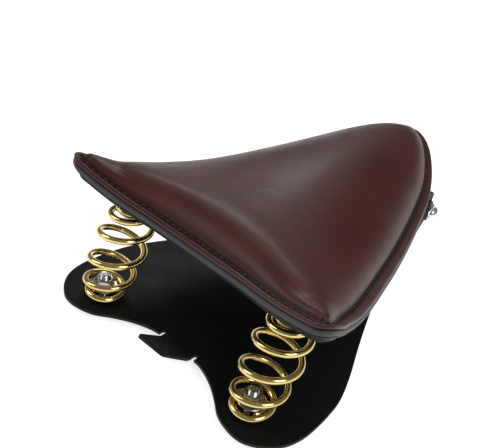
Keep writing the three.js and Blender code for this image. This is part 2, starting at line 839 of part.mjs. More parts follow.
function hangerBolt(at) {
  const shape = turned([
    [0, -PAD_DROP - GAP - BRACKET_T - 7.5],
    [SCREW / 2, -PAD_DROP - GAP - BRACKET_T - 7.5],
    [SCREW / 2, PAN_T + 1],
    [6, PAN_T + 1],
    [5.2, PAN_T + 3],
    [3, PAN_T + 4.2],
    [0, PAN_T + 4.2],
  ]);
  return tilted(shape, at);
}

function hangerNut(at) {
  const top = -PAD_DROP - GAP - BRACKET_T - 2 * GAP;
  return tilted(nut(SCREW, top - 5, top), at);
}

// ---- hinge ----
const EAR_OUT = EAR_HALF + BRACKET_T / 2;
const EAR_IN = EAR_HALF - BRACKET_T / 2;
const HANGER_OUT = HANGER_HALF + BRACKET_T / 2;
const HANGER_IN = HANGER_HALF - BRACKET_T / 2;

function pivotBolt() {
  const seat = EAR_OUT + GAP + WASHER_T + GAP;
  const shank = bar(PIVOT_BOLT / 2, -seat - 1, seat + 5);
  const head = hex(16, -seat - 6.4, -seat);
  return onHinge(join(shank, head));
}

function pivotDomeNut() {
  const seat = EAR_OUT + GAP + WASHER_T + GAP;
  const body = hex(16, seat, seat + 5);
  const dome = turned([
    [0, seat + 3],
    [7, seat + 3],
    [7, seat + 6],
    [5.8, seat + 8],
    [3.5, seat + 9.2],
    [0, seat + 9.6],
  ]);
  const blind = bar(PIVOT_BOLT / 2 + HOLE_FIT / 2, seat - 1, seat + 5.6);
  return onHinge(cut(join(body, dome), blind));
}

function pivotWasher(side) {
  const shape = ring(PIVOT_BOLT / 2 + HOLE_FIT, 10, EAR_OUT + GAP, EAR_OUT + GAP + WASHER_T);
  return onHinge(shape, side);
}

function pivotBush(side) {
  const shape = ring(PIVOT_BOLT / 2 + HOLE_FIT, 9, HANGER_OUT + GAP, EAR_IN - GAP);
  return onHinge(shape, side);
}

function pivotSleeve() {
  return onHinge(ring(PIVOT_BOLT / 2 + HOLE_FIT, 8, -HANGER_IN + GAP, HANGER_IN - GAP));
}

// ---- assembly ----
const LEATHER = { color: 0x4b2a27, roughness: 0.38, metalness: 0 };
const FOAM = { color: 0xd9c9a0, roughness: 0.95, metalness: 0 };
const EDGE = { color: 0x3b3d40, roughness: 0.6, metalness: 0 };
const THREAD_LOOK = { color: 0x1d0f0d, roughness: 0.8, metalness: 0 };
const BLACK_STEEL = { color: 0x151515, roughness: 0.5, metalness: 0.3 };
const GOLD = { color: 0xd9a941, roughness: 0.2, metalness: 1 };
const ZINC = { color: 0xc8ccd0, roughness: 0.3, metalness: 1 };
const RUBBER = { color: 0x161616, roughness: 0.85, metalness: 0 };

const saddle = new THREE.Group();

function piece(name, geometry, look) {
  const mesh = new THREE.Mesh(geometry, new THREE.MeshStandardMaterial(look));
  mesh.name = name;
  saddle.add(mesh);
}

piece("base_plate", basePlate(), BLACK_STEEL);
piece("base_bracket", baseBracket(), BLACK_STEEL);
piece("nose_bracket", noseBracket(), BLACK_STEEL);
piece("seat_pan", seatPan(), BLACK_STEEL);
piece("edge_band", edgeBand(), EDGE);
piece("foam_pad", foamPad(), FOAM);
piece("leather_cover", leatherCover(), LEATHER);
piece("cover_stitching", coverStitching(), THREAD_LOOK);
for (const [side, name] of [
  [-1, "left"],
  [1, "right"],
]) {
  piece("spring_" + name, spring(side), GOLD);
  piece("spring_seat_ring_" + name, springSeatRing(side), GOLD);
  piece("lower_bolt_" + name, lowerBolt(side), ZINC);
  piece("lower_washer_" + name, lowerWasher(side), ZINC);
  piece("lower_nut_" + name, lowerNut(side), ZINC);
  piece("upper_bolt_" + name, upperBolt(side), ZINC);
  piece("upper_washer_" + name, upperWasher(side), ZINC);
  piece("upper_nut_" + name, upperNut(side), ZINC);
  piece("pivot_washer_" + name, pivotWasher(side), RUBBER);
  piece("pivot_bush_" + name, pivotBush(side), RUBBER);
}
webScrews().forEach((at, i) => {
  const name = ["left", "right"][i];
  piece("bracket_bolt_" + name, webBolt(at), ZINC);
  piece("bracket_nut_" + name, webNut(at), ZINC);
});
hangerScrews().forEach((at, i) => {
  const name = ["left", "right", "front"][i];
  piece("pan_bolt_" + name, hangerBolt(at), ZINC);
  piece("pan_nut_" + name, hangerNut(at), ZINC);
});
piece("pivot_sleeve", pivotSleeve(), ZINC);
piece("pivot_bolt", pivotBolt(), ZINC);
piece("pivot_dome_nut", pivotDomeNut(), ZINC);

const bounds = new THREE.Box3().setFromObject(saddle);
const middle = bounds.getCenter(new THREE.Vector3());
for (const mesh of saddle.children) {
  mesh.geometry.translate(-middle.x, -middle.y, -bounds.min.z);
}

export default saddle;
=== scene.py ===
"""Looks of the sprung solo saddle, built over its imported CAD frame.

Lengths inside the shape functions are millimetres in the build frame: z = 0 is the top of the mounting
plate and y = 0 is the line through the two lower spring bolts. place() turns them into the row frame.
"""
import math

import bmesh
import bpy
import numpy as np
from mathutils import Matrix, Vector
from mathutils.geometry import delaunay_2d_cdt


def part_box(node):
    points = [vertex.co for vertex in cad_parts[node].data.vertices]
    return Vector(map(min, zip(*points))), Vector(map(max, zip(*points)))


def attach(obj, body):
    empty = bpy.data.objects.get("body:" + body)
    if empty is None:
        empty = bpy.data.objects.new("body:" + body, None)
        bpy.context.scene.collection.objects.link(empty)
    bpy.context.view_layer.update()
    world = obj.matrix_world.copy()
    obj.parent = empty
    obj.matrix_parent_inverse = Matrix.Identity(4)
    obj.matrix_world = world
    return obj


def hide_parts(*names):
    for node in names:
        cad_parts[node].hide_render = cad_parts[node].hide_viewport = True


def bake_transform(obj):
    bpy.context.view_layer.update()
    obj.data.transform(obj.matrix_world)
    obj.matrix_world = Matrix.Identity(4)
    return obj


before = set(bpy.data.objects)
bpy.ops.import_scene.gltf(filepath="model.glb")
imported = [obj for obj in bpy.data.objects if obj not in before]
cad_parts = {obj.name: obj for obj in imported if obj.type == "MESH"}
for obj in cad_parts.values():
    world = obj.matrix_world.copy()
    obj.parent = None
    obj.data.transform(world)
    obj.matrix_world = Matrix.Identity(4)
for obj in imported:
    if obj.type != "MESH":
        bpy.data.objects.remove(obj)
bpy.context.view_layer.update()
scene = bpy.context.scene


# ---------------------------------------------------------------- frame and sizes
def centre_of(node):
    lo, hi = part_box(node)
    return (lo + hi) / 2


def size_of(node):
    lo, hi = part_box(node)
    return hi - lo


# The CAD part's own driving dimensions, repeated where the frame doesn't give them.
GAP = 0.3
PLATE_T = 3.0
FOOT = centre_of("lower_washer_right") * 1000
HEAD = centre_of("upper_washer_right") * 1000
HINGE = centre_of("pivot_sleeve") * 1000
PLATE_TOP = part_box("base_plate")[0].z * 1000 + PLATE_T
SHIFT = Vector((0, FOOT.y, PLATE_TOP))


def place(point):
    """Build-frame millimetres to row-frame metres."""
    return (Vector(point) + SHIFT) / 1000


FOOT_X = FOOT.x
HEAD_X = HEAD.x
HEAD_Y = HEAD.y - SHIFT.y
PIVOT_Y = HINGE.y - SHIFT.y
SEAT_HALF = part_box("edge_band")[1].x * 1000
SEAT_REAR = SHIFT.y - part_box("edge_band")[0].y * 1000
NOSE_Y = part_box("edge_band")[1].y * 1000 - SHIFT.y
RIM_Z = 81.2
NOSE_RISE = 0.045
DISH = 7.0
PAN_T = 2.0
FLAT_HALF = 21.0
BAND_T = 5.0
BAND_W = 9.0
WALL_IN = 5.0
FLANGE_BOTTOM = BAND_T + GAP
FLANGE_TOP = FLANGE_BOTTOM + 3.0
STITCH_IN = 7.8
WIRE = 5.0
COILS = 6
COIL_TILT = 0.17
SPRING_FOOT = 3.0
SPRING_TOP = 72.7
LOBE_REACH = 40.0
PLATE_REAR = 24.5
PLATE_NOSE = 3.0

# Thread radii, and sizes across the flats of the hexagons.
M8 = 4.0
M6 = 3.0
M8_FLATS = 13.2
M6_FLATS = 9.9
HINGE_FLATS = 16.0

# The padding, over the cover's stitched edge.
CROWN = 15.0
SHOULDER_FROM = STITCH_IN + 1.2
SHOULDER_WIDTH = 15.0
SHOULDER_RISE = 8.6
DOME_WIDTH = 42.0
SOFTNESS = 17.0
SEAM_SHIFT = 2.7
STITCH_PITCH = 5.6


# ---------------------------------------------------------------- shape of the seat
SEAT_SHAPE = [
    (0, 0.044), (0.34, 0.038), (0.55, 0.024), (0.72, 0.012), (0.85, 0.003), (0.93, 0),
    (0.983, 0.013), (1, 0.043), (0.992, 0.079), (0.966, 0.122), (0.932, 0.194), (0.885, 0.273),
    (0.805, 0.391), (0.715, 0.523), (0.61, 0.661), (0.542, 0.74), (0.475, 0.812), (0.41, 0.86),
    (0.325, 0.908), (0.212, 0.957), (0.1, 0.988), (0, 1),
]
PLATE_SHAPE = [
    (0, 0.103), (0.14, 0.103), (0.21, 0.1), (0.345, 0.078), (0.46, 0.047), (0.56, 0.016), (0.69, 0),
    (0.78, 0.002), (0.855, 0.018), (0.915, 0.04), (0.965, 0.072), (0.995, 0.117), (1, 0.16),
    (0.99, 0.225), (0.965, 0.29), (0.895, 0.372), (0.793, 0.466), (0.724, 0.53), (0.595, 0.658),
    (0.5, 0.75), (0.43, 0.87), (0.39, 0.95), (0.31, 0.99), (0.2, 1), (0, 1),
]


def closed_outline(half, half_width, rear, front, count):
    """Even points round a closed centripetal Catmull-Rom curve through the half outline and its mirror."""
    right = [np.array((x * half_width, rear + y * (front - rear))) for x, y in half]
    left = [np.array((-p[0], p[1])) for p in reversed(right[1:-1])]
    knots = right + left
    dense = []
    n = len(knots)
    for i in range(n):
        near = [knots[(i + k - 1) % n] for k in range(4)]
        p0, p1, p2, p3 = near
        d0, d1, d2 = (max(1e-4, float(np.linalg.norm(b - a)) ** 0.5) for a, b in zip(near, near[1:]))
        t1 = ((p1 - p0) / d0 - (p2 - p0) / (d0 + d1) + (p2 - p1) / d1) * d1
        t2 = ((p2 - p1) / d1 - (p3 - p1) / (d1 + d2) + (p3 - p2) / d2) * d1
        for s in np.linspace(0, 1, 40, endpoint=False):
            dense.append(
                (2 * s**3 - 3 * s**2 + 1) * p1
                + (s**3 - 2 * s**2 + s) * t1
                + (3 * s**2 - 2 * s**3) * p2
                + (s**3 - s**2) * t2
            )
    dense = np.array(dense + [dense[0]])
    run = np.concatenate([[0], np.cumsum(np.linalg.norm(np.diff(dense, axis=0), axis=1))])
    at = np.linspace(0, run[-1], count, endpoint=False)
    points = np.stack([np.interp(at, run, dense[:, k]) for k in (0, 1)], 1)
    twin = points[(-np.arange(count)) % count]
    return np.stack([(points[:, 0] - twin[:, 0]) / 2, (points[:, 1] + twin[:, 1]) / 2], 1)


def sweep(y):
    """Curvature of the rim across the seat: the wings turn up, the sides and the nose hang down."""
    forward = (np.hypot(y, 12) + y) / 2
    return 0.0016 - 0.0017 * (1 - np.exp(-forward / 25)) - 0.008 * (forward / PIVOT_Y) ** 1.3


def rim_height(x, y):
    return RIM_Z + NOSE_RISE * y + sweep(y) * x * x


def pan_plane(y):
    return RIM_Z + NOSE_RISE * y - DISH


def pan_under(x, y):
    return pan_plane(y) + sweep(y) * np.maximum(0, x * x - FLAT_HALF**2)


def fullness(behind, y):
    """Height of the padding: a bolster along the rear edge, a shallow dip and a full nose."""
    bolster = 3.4 * np.exp(-(((behind - 24) / 17) ** 2))
    dip = 3.0 * np.exp(-(((y - 92) / 44) ** 2))
    return CROWN + bolster - dip


def roundness(distance, width, power):
    u = np.clip(distance / width, 0, 1)
    return (1 - (1 - u) ** power) ** (1 / power)


RIM_COUNT = 336
INSET_LIMIT = 14.0
OUTLINE = closed_outline(SEAT_SHAPE, SEAT_HALF, -SEAT_REAR, NOSE_Y, RIM_COUNT)
TANGENT = np.roll(OUTLINE, -1, 0) - np.roll(OUTLINE, 1, 0)
TANGENT /= np.linalg.norm(TANGENT, axis=1)[:, None]
NORMAL = np.stack([-TANGENT[:, 1], TANGENT[:, 0]], 1)

# The inward directions are evened out along the rim, so that they don't cross at the wing tips.
SPREAD = 10
WEIGHTS = np.hanning(2 * SPREAD + 3)[1:-1]
NORMAL = sum(weight * np.roll(NORMAL, k - SPREAD, 0) for k, weight in enumerate(WEIGHTS))
NORMAL /= np.linalg.norm(NORMAL, axis=1)[:, None]
SPINE = np.stack(
    [np.zeros(RIM_COUNT), NOSE_Y * (0.25 + 0.51 * (OUTLINE[:, 1] + SEAT_REAR) / (NOSE_Y + SEAT_REAR))], 1
)


def inset(distance):
    """Plan positions of every rim point moved inwards: square to the rim first, then towards the spine."""
    distance = np.broadcast_to(np.asarray(distance, float), (RIM_COUNT,))
    edge = OUTLINE + NORMAL * np.minimum(distance, INSET_LIMIT)[:, None]
    to_spine = SPINE - edge
    reach = np.linalg.norm(to_spine, axis=1)
    share = np.clip((distance - INSET_LIMIT) / reach, 0, 1)
    return edge + to_spine * share[:, None]


class Field:
    """A smooth height over the plan, stored on a one millimetre grid."""

    def __init__(self):
        self.x0, self.y0 = -math.ceil(SEAT_HALF) - 12, -math.ceil(SEAT_REAR) - 12
        nx, ny = int(-2 * self.x0) + 1, int(NOSE_Y - self.y0) + 14
        gx, gy = np.meshgrid(np.arange(nx) + self.x0, np.arange(ny) + self.y0, indexing="ij")
        a, b = OUTLINE, np.roll(OUTLINE, -1, 0)
        best = np.full(gx.shape, 1e9)
        reach = np.zeros(gx.shape)
        inside = np.zeros(gx.shape, bool)
        for (ax, ay), (bx, by) in zip(a, b):
            dx, dy = bx - ax, by - ay
            t = np.clip(((gx - ax) * dx + (gy - ay) * dy) / (dx * dx + dy * dy), 0, 1)
            away = np.hypot(gx - ax - t * dx, gy - ay - t * dy)
            best = np.minimum(best, away)
            reach += math.hypot(dx, dy) * np.exp(-away / SOFTNESS)
            crosses = (ay > gy) != (by > gy)
            inside ^= crosses & (gx < (bx - ax) * (gy - ay) / (by - ay + 1e-12) + ax)
        self.distance = np.where(inside, best, -best)
        soft = self.soft_distance(reach)
        rear = OUTLINE[(OUTLINE[:, 1] < 20) & (np.abs(OUTLINE[:, 0]) < SEAT_HALF - 4)]
        rear = rear[np.argsort(rear[:, 0])]
        behind = gy - np.interp(gx, rear[:, 0], rear[:, 1])
        shoulder = SHOULDER_RISE * roundness(self.distance - SHOULDER_FROM, SHOULDER_WIDTH, 2.3)
        dome = (fullness(behind, gy) - SHOULDER_RISE) * roundness(soft - SHOULDER_FROM, DOME_WIDTH, 1.7)
        smooth = self.blur(shoulder, 2)
        keep = np.clip((self.distance - 11) / 8, 0, 1)
        self.height = shoulder + (smooth - shoulder) * keep + self.blur(dome, 3)

    @staticmethod
    def soft_distance(reach):
        """Distance from the edge whose ridges are rounded off: each edge point counts by its nearness."""
        along = np.linspace(-400, 400, 4001)
        depths = np.linspace(0, 140, 281)
        straight = [np.exp(-np.hypot(d, along) / SOFTNESS).sum() * (along[1] - along[0]) for d in depths]
        return np.interp(-np.log(reach + 1e-12), -np.log(straight), depths)

    @staticmethod
    def blur(values, sigma):
        reach = int(sigma * 3)
        kernel = np.exp(-0.5 * (np.arange(-reach, reach + 1) / sigma) ** 2)
        kernel /= kernel.sum()
        for axis in (0, 1):
            pad = [(reach, reach) if k == axis else (0, 0) for k in (0, 1)]
            wide = np.pad(values, pad, mode="edge")
            values = np.apply_along_axis(lambda line: np.convolve(line, kernel, "valid"), axis, wide)
        return values

    def at(self, plan):
        fx = np.clip(plan[:, 0] - self.x0, 0, self.height.shape[0] - 1.001)
        fy = np.clip(plan[:, 1] - self.y0, 0, self.height.shape[1] - 1.001)
        i, j = fx.astype(int), fy.astype(int)
        u, v = fx - i, fy - j
        h = self.height
        near = h[i, j] * (1 - u) * (1 - v) + h[i + 1, j] * u * (1 - v)
        return near + h[i, j + 1] * (1 - u) * v + h[i + 1, j + 1] * u * v


field = Field()


# ---------------------------------------------------------------- mesh helpers
def add_object(name, mesh):
    piece = bpy.data.objects.new(name, mesh)
    scene.collection.objects.link(piece)
    return piece


def mesh_object(name, points, faces):
    """Object from build-frame points in millimetres; faces are made to point outwards."""
    mesh = bpy.data.meshes.new(name)
    mesh.from_pydata([place(p) for p in points], [], faces)
    tidy(mesh)
    mesh.shade_smooth()
    return add_object(name, mesh)


def tidy(mesh):
    bm = bmesh.new()
    bm.from_mesh(mesh)
    bmesh.ops.remove_doubles(bm, verts=bm.verts, dist=1e-6)
    bmesh.ops.dissolve_degenerate(bm, edges=bm.edges, dist=1e-7)
    bmesh.ops.recalc_face_normals(bm, faces=bm.faces)
    bm.to_mesh(mesh)
    bm.free()
    mesh.update()


def from_bmesh(name, bm, degrees=30):
    """Object from a built mesh, with the edges sharper than an angle left sharp."""
    bmesh.ops.recalc_face_normals(bm, faces=bm.faces)
    mesh = bpy.data.meshes.new(name)
    bm.to_mesh(mesh)
    bm.free()
    mesh.shade_smooth()
    piece = add_object(name, mesh)
    smooth_by_angle(piece, degrees)
    return piece


def ring(plan, heights):
    return np.concatenate([plan, np.asarray(heights, float).reshape(-1, 1)], 1)


def loft_faces(rings, count, loops):
    """Quads between successive rings of vertices, and back to the first ring where it loops."""
    faces = []
    last = rings if loops else rings - 1
    for k in range(last):
        a, b = k * count, ((k + 1) % rings) * count
        for i in range(count):
            j = (i + 1) % count
            faces.append((a + i, a + j, b + j, b + i))
    return faces


def cap(loop, spacing):
    """Even points inside a plan loop, and triangles over the loop's own points followed by them."""
    low, high = loop.min(0), loop.max(0)
    rows = np.arange(low[1] + 1, high[1], spacing * 0.866)
    columns = np.arange(-math.ceil(high[0] / spacing) * spacing, high[0], spacing)
    grid = np.array([(x + (k % 2) * spacing / 2, y) for k, y in enumerate(rows) for x in columns])
    inside = np.zeros(len(grid), bool)
    nearest = np.full(len(grid), 1e9)
    for (ax, ay), (bx, by) in zip(loop, np.roll(loop, -1, 0)):
        crosses = (ay > grid[:, 1]) != (by > grid[:, 1])
        inside ^= crosses & (grid[:, 0] < (bx - ax) * (grid[:, 1] - ay) / (by - ay + 1e-12) + ax)
        nearest = np.minimum(nearest, np.hypot(grid[:, 0] - ax, grid[:, 1] - ay))
    grid = grid[inside & (nearest > spacing * 0.6)]
    plan = [Vector(p) for p in np.vstack([loop, grid])]
    spots, _, triangles, *_ = delaunay_2d_cdt(plan, [], [list(range(len(loop)))], 1, 1e-6)
    return np.array(spots[len(loop) :]), triangles


def capped_skin(name, rings, first_height, last_height, spacing=3.2):
    """Closed skin over successive rings, with the areas inside the first and the last ring filled in."""
    count = len(rings[0])
    points = np.concatenate(rings)
    faces = loft_faces(len(rings), count, False)
    for ring_at, height in ((0, first_height), (len(rings) - 1, last_height)):
        start = len(points)
        grid, triangles = cap(rings[ring_at][:, :2], spacing)
        points = np.concatenate([points, ring(grid, height(grid))])
        for triangle in triangles:
            faces.append([ring_at * count + v if v < count else start + v - count for v in triangle])
    return mesh_object(name, points.tolist(), faces)


def loft(name, rings):
    """Closed skin over rings that come back to the first one."""
    points = np.concatenate(rings)
    return mesh_object(name, points.tolist(), loft_faces(len(rings), len(rings[0]), True))


def smooth_by_angle(piece, degrees):
    chosen = {"selected_objects": [piece], "selected_editable_objects": [piece]}
    with bpy.context.temp_override(object=piece, active_object=piece, **chosen):
        bpy.ops.object.shade_smooth_by_angle(angle=math.radians(degrees))


def join_into(target, others):
    bm = bmesh.new()
    for piece in [target, *others]:
        bm.from_mesh(piece.data)
    bm.to_mesh(target.data)
    bm.free()
    for piece in others:
        bpy.data.objects.remove(piece)
    return target


# ---------------------------------------------------------------- materials
class Nodes:
    """Small helper over one material's node tree."""

    def __init__(self, name):
        self.material = bpy.data.materials.new(name)
        self.material.use_nodes = True
        self.tree = self.material.node_tree
        self.shader = self.tree.nodes["Principled BSDF"]
        self.where = self.tree.nodes.new("ShaderNodeTexCoord").outputs["Object"]

    def set(self, **values):
        for key, value in values.items():
            self.shader.inputs[key.replace("_", " ")].default_value = value

    def link(self, a, b):
        self.tree.links.new(a, b)

    def noise(self, scale, detail=3, roughness=0.55, stretch=None):
        node = self.tree.nodes.new("ShaderNodeTexNoise")
        node.inputs["Scale"].default_value = scale
        node.inputs["Detail"].default_value = detail
        node.inputs["Roughness"].default_value = roughness
        if stretch:
            mapping = self.tree.nodes.new("ShaderNodeMapping")
            mapping.inputs["Scale"].default_value = stretch
            self.link(self.where, mapping.inputs["Vector"])
            self.link(mapping.outputs["Vector"], node.inputs["Vector"])
        else:
            self.link(self.where, node.inputs["Vector"])
        return node.outputs["Fac"]

    def cells(self, scale):
        """Distance to the nearest edge between random cells."""
        node = self.tree.nodes.new("ShaderNodeTexVoronoi")
        node.feature = "DISTANCE_TO_EDGE"
        node.inputs["Scale"].default_value = scale
        self.link(self.where, node.inputs["Vector"])
        return node.outputs["Distance"]

    def attribute(self, name):
        node = self.tree.nodes.new("ShaderNodeAttribute")
        node.attribute_name = name
        return node.outputs["Fac"]

    def ramp(self, value, low, high, out_low=0.0, out_high=1.0):
        node = self.tree.nodes.new("ShaderNodeMapRange")
        node.inputs["From Min"].default_value = low
        node.inputs["From Max"].default_value = high
        node.inputs["To Min"].default_value = out_low
        node.inputs["To Max"].default_value = out_high
        self.link(value, node.inputs["Value"])
        return node.outputs["Result"]

    def math(self, operation, a, b):
        node = self.tree.nodes.new("ShaderNodeMath")
        node.operation = operation
        for socket, value in zip(node.inputs, (a, b)):
            if isinstance(value, (int, float)):
                socket.default_value = value
            else:
                self.link(value, socket)
        return node.outputs[0]

    def mix(self, factor, a, b):
        node = self.tree.nodes.new("ShaderNodeMix")
        node.data_type = "RGBA"
        self.link(factor, node.inputs[0])
        for socket, value in zip((node.inputs[6], node.inputs[7]), (a, b)):
            if isinstance(value, tuple):
                socket.default_value = (*value, 1)
            else:
                self.link(value, socket)
        return node.outputs[2]

    def bump(self, height, distance, strength=1.0, base=None):
        node = self.tree.nodes.new("ShaderNodeBump")
        node.inputs["Distance"].default_value = distance
        node.inputs["Strength"].default_value = strength
        self.link(height, node.inputs["Height"])
        if base is not None:
            self.link(base, node.inputs["Normal"])
        return node.outputs["Normal"]

    def finish(self, colour=None, roughness=None, normal=None):
        if colour is not None:
            self.link(colour, self.shader.inputs["Base Color"])
        if roughness is not None:
            self.link(roughness, self.shader.inputs["Roughness"])
        if normal is not None:
            self.link(normal, self.shader.inputs["Normal"])
        return self.material


def leather_material():
    n = Nodes("oxblood_leather")
    n.set(Coat_Weight=0.05, Coat_Roughness=0.2, Specular_IOR_Level=0.24)
    tone = n.ramp(n.noise(22, 4), 0.3, 0.7)
    colour = n.mix(tone, (0.062, 0.0142, 0.0108), (0.086, 0.0203, 0.0152))
    # Painted shade: the leather is darkened in the stitch groove and under the flange edge, by the amount
    # stored on the cushion's vertices.
    seam_shade = n.attribute("painted_seam_shade")
    colour = n.mix(seam_shade, colour, (0.011, 0.0042, 0.0038))
    pores = n.ramp(n.cells(1500), 0, 0.16)
    colour = n.mix(n.ramp(pores, 0, 1, 0.25, 0), colour, (0.03, 0.009, 0.0075))
    grain = n.math("ADD", pores, n.math("MULTIPLY", n.noise(900, 3), 0.8))
    roughness = n.ramp(n.noise(60, 4), 0.25, 0.75, 0.3, 0.42)
    normal = n.bump(n.noise(70, 2), 0.0006, 0.25)
    normal = n.bump(grain, 0.00006, 0.5, normal)
    return n.finish(colour, roughness, normal)


def thread_material():
    n = Nodes("dark_thread")
    n.set(Sheen_Weight=0.3)
    twist = n.noise(2600, 2, 0.5, (1, 1, 3))
    colour = n.mix(n.ramp(twist, 0.35, 0.65), (0.008, 0.0035, 0.003), (0.03, 0.011, 0.009))
    return n.finish(colour, n.ramp(twist, 0.3, 0.7, 0.5, 0.7), n.bump(twist, 0.0002, 0.8))


def edge_material():
    n = Nodes("edge_vinyl")
    fine = n.noise(1400, 4)
    wear = n.ramp(n.noise(35, 5), 0.4, 0.75)
    colour = n.mix(wear, (0.01, 0.0105, 0.011), (0.02, 0.021, 0.023))
    return n.finish(colour, n.ramp(fine, 0.3, 0.7, 0.42, 0.6), n.bump(fine, 0.00008, 0.6))


def powder_material():
    n = Nodes("black_powder_coat")
    n.set(Specular_IOR_Level=0.2)
    peel = n.noise(900, 2, 0.4)
    dust = n.ramp(n.noise(30, 5), 0.45, 0.8)
    colour = n.mix(dust, (0.0035, 0.0035, 0.0038), (0.0065, 0.0065, 0.007))
    roughness = n.ramp(n.noise(45, 4), 0.3, 0.7, 0.48, 0.62)
    return n.finish(colour, roughness, n.bump(peel, 0.00006, 0.5))


def gold_material():
    n = Nodes("gold_plate")
    n.set(Metallic=1.0)
    tone = n.ramp(n.noise(60, 3), 0.3, 0.7)
    colour = n.mix(tone, (0.66, 0.5, 0.17), (0.78, 0.61, 0.25))
    streak = n.noise(420, 3, 0.6, (1, 1, 4))
    return n.finish(colour, n.ramp(streak, 0.3, 0.75, 0.1, 0.2), n.bump(streak, 0.00004, 0.35))


def zinc_material():
    n = Nodes("bright_zinc")
    n.set(Metallic=1.0)
    stain = n.ramp(n.noise(180, 4), 0.35, 0.7)
    colour = n.mix(stain, (0.38, 0.39, 0.4), (0.56, 0.57, 0.58))
    fine = n.noise(2500, 2)
    return n.finish(colour, n.ramp(n.noise(500, 3), 0.3, 0.7, 0.18, 0.34), n.bump(fine, 0.00003, 0.5))


def chrome_material():
    n = Nodes("chrome")
    n.set(Metallic=1.0)
    haze = n.ramp(n.noise(150, 4), 0.35, 0.7)
    colour = n.mix(haze, (0.74, 0.75, 0.76), (0.86, 0.87, 0.88))
    return n.finish(colour, n.ramp(n.noise(400, 3), 0.3, 0.8, 0.05, 0.14))


def rubber_material():
    n = Nodes("black_rubber")
    fine = n.noise(1800, 3)
    tone = n.ramp(n.noise(90, 4), 0.35, 0.7)
    colour = n.mix(tone, (0.008, 0.008, 0.008), (0.016, 0.016, 0.016))
    return n.finish(colour, n.ramp(fine, 0.3, 0.7, 0.6, 0.8), n.bump(fine, 0.0001, 0.6))


LEATHER = leather_material()
THREAD = thread_material()
EDGE = edge_material()
POWDER = powder_material()
GOLD = gold_material()
ZINC = zinc_material()
CHROME = chrome_material()
RUBBER = rubber_material()


def dress(piece, material, body=None, nodes=()):
    piece.data.materials.clear()
    piece.data.materials.append(material)
    if nodes:
        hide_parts(*nodes)
    if body:
        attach(piece, body)
    return piece


# ---------------------------------------------------------------- leather cushion
def seam_steps():
    """Length of the seam from each rim point to the next."""
    line = inset(STITCH_IN)
    return np.linalg.norm(np.roll(line, -1, 0) - line, axis=1)


def seam_run():
    """Share of the way round the seam at each rim point, from 0 to 1."""
    steps = seam_steps()
    return np.concatenate([[0], np.cumsum(steps)[:-1]]) / steps.sum()


STITCHES = int(round(seam_steps().sum() / STITCH_PITCH))


def seam_inset(distance):
    """Ring inside the rim, moved outwards at the rear, where the seam is closer to the edge."""
    near_rear = np.exp(-(((OUTLINE[:, 1] + SEAT_REAR) / 24) ** 2))
    return inset(distance - SEAM_SHIFT * near_rear * np.interp(distance, (2, 5.5, 11, 23), (0, 1, 1, 0)))


def ripple(seed, waves):
    """Smooth closed wave round the rim, between -1 and 1."""
    rng = np.random.default_rng(seed)
    run = seam_run()
    total = sum(
        rng.uniform(0.5, 1) * np.sin(2 * math.pi * (k * run + rng.uniform())) for k in waves
    )
    return total / len(waves)


def pucker_amount():
    """How much the leather gathers at the stitches: most along the rear edge and at the wing tips."""
    y = OUTLINE[:, 1]
    x = np.abs(OUTLINE[:, 0])
    rear = np.exp(-(((y + SEAT_REAR) / 26) ** 2)) * (0.55 + 0.45 * x / SEAT_HALF)
    patches = 0.55 + 0.45 * ripple(3, (4, 7, 11))
    return (0.28 + 1.3 * rear) * patches


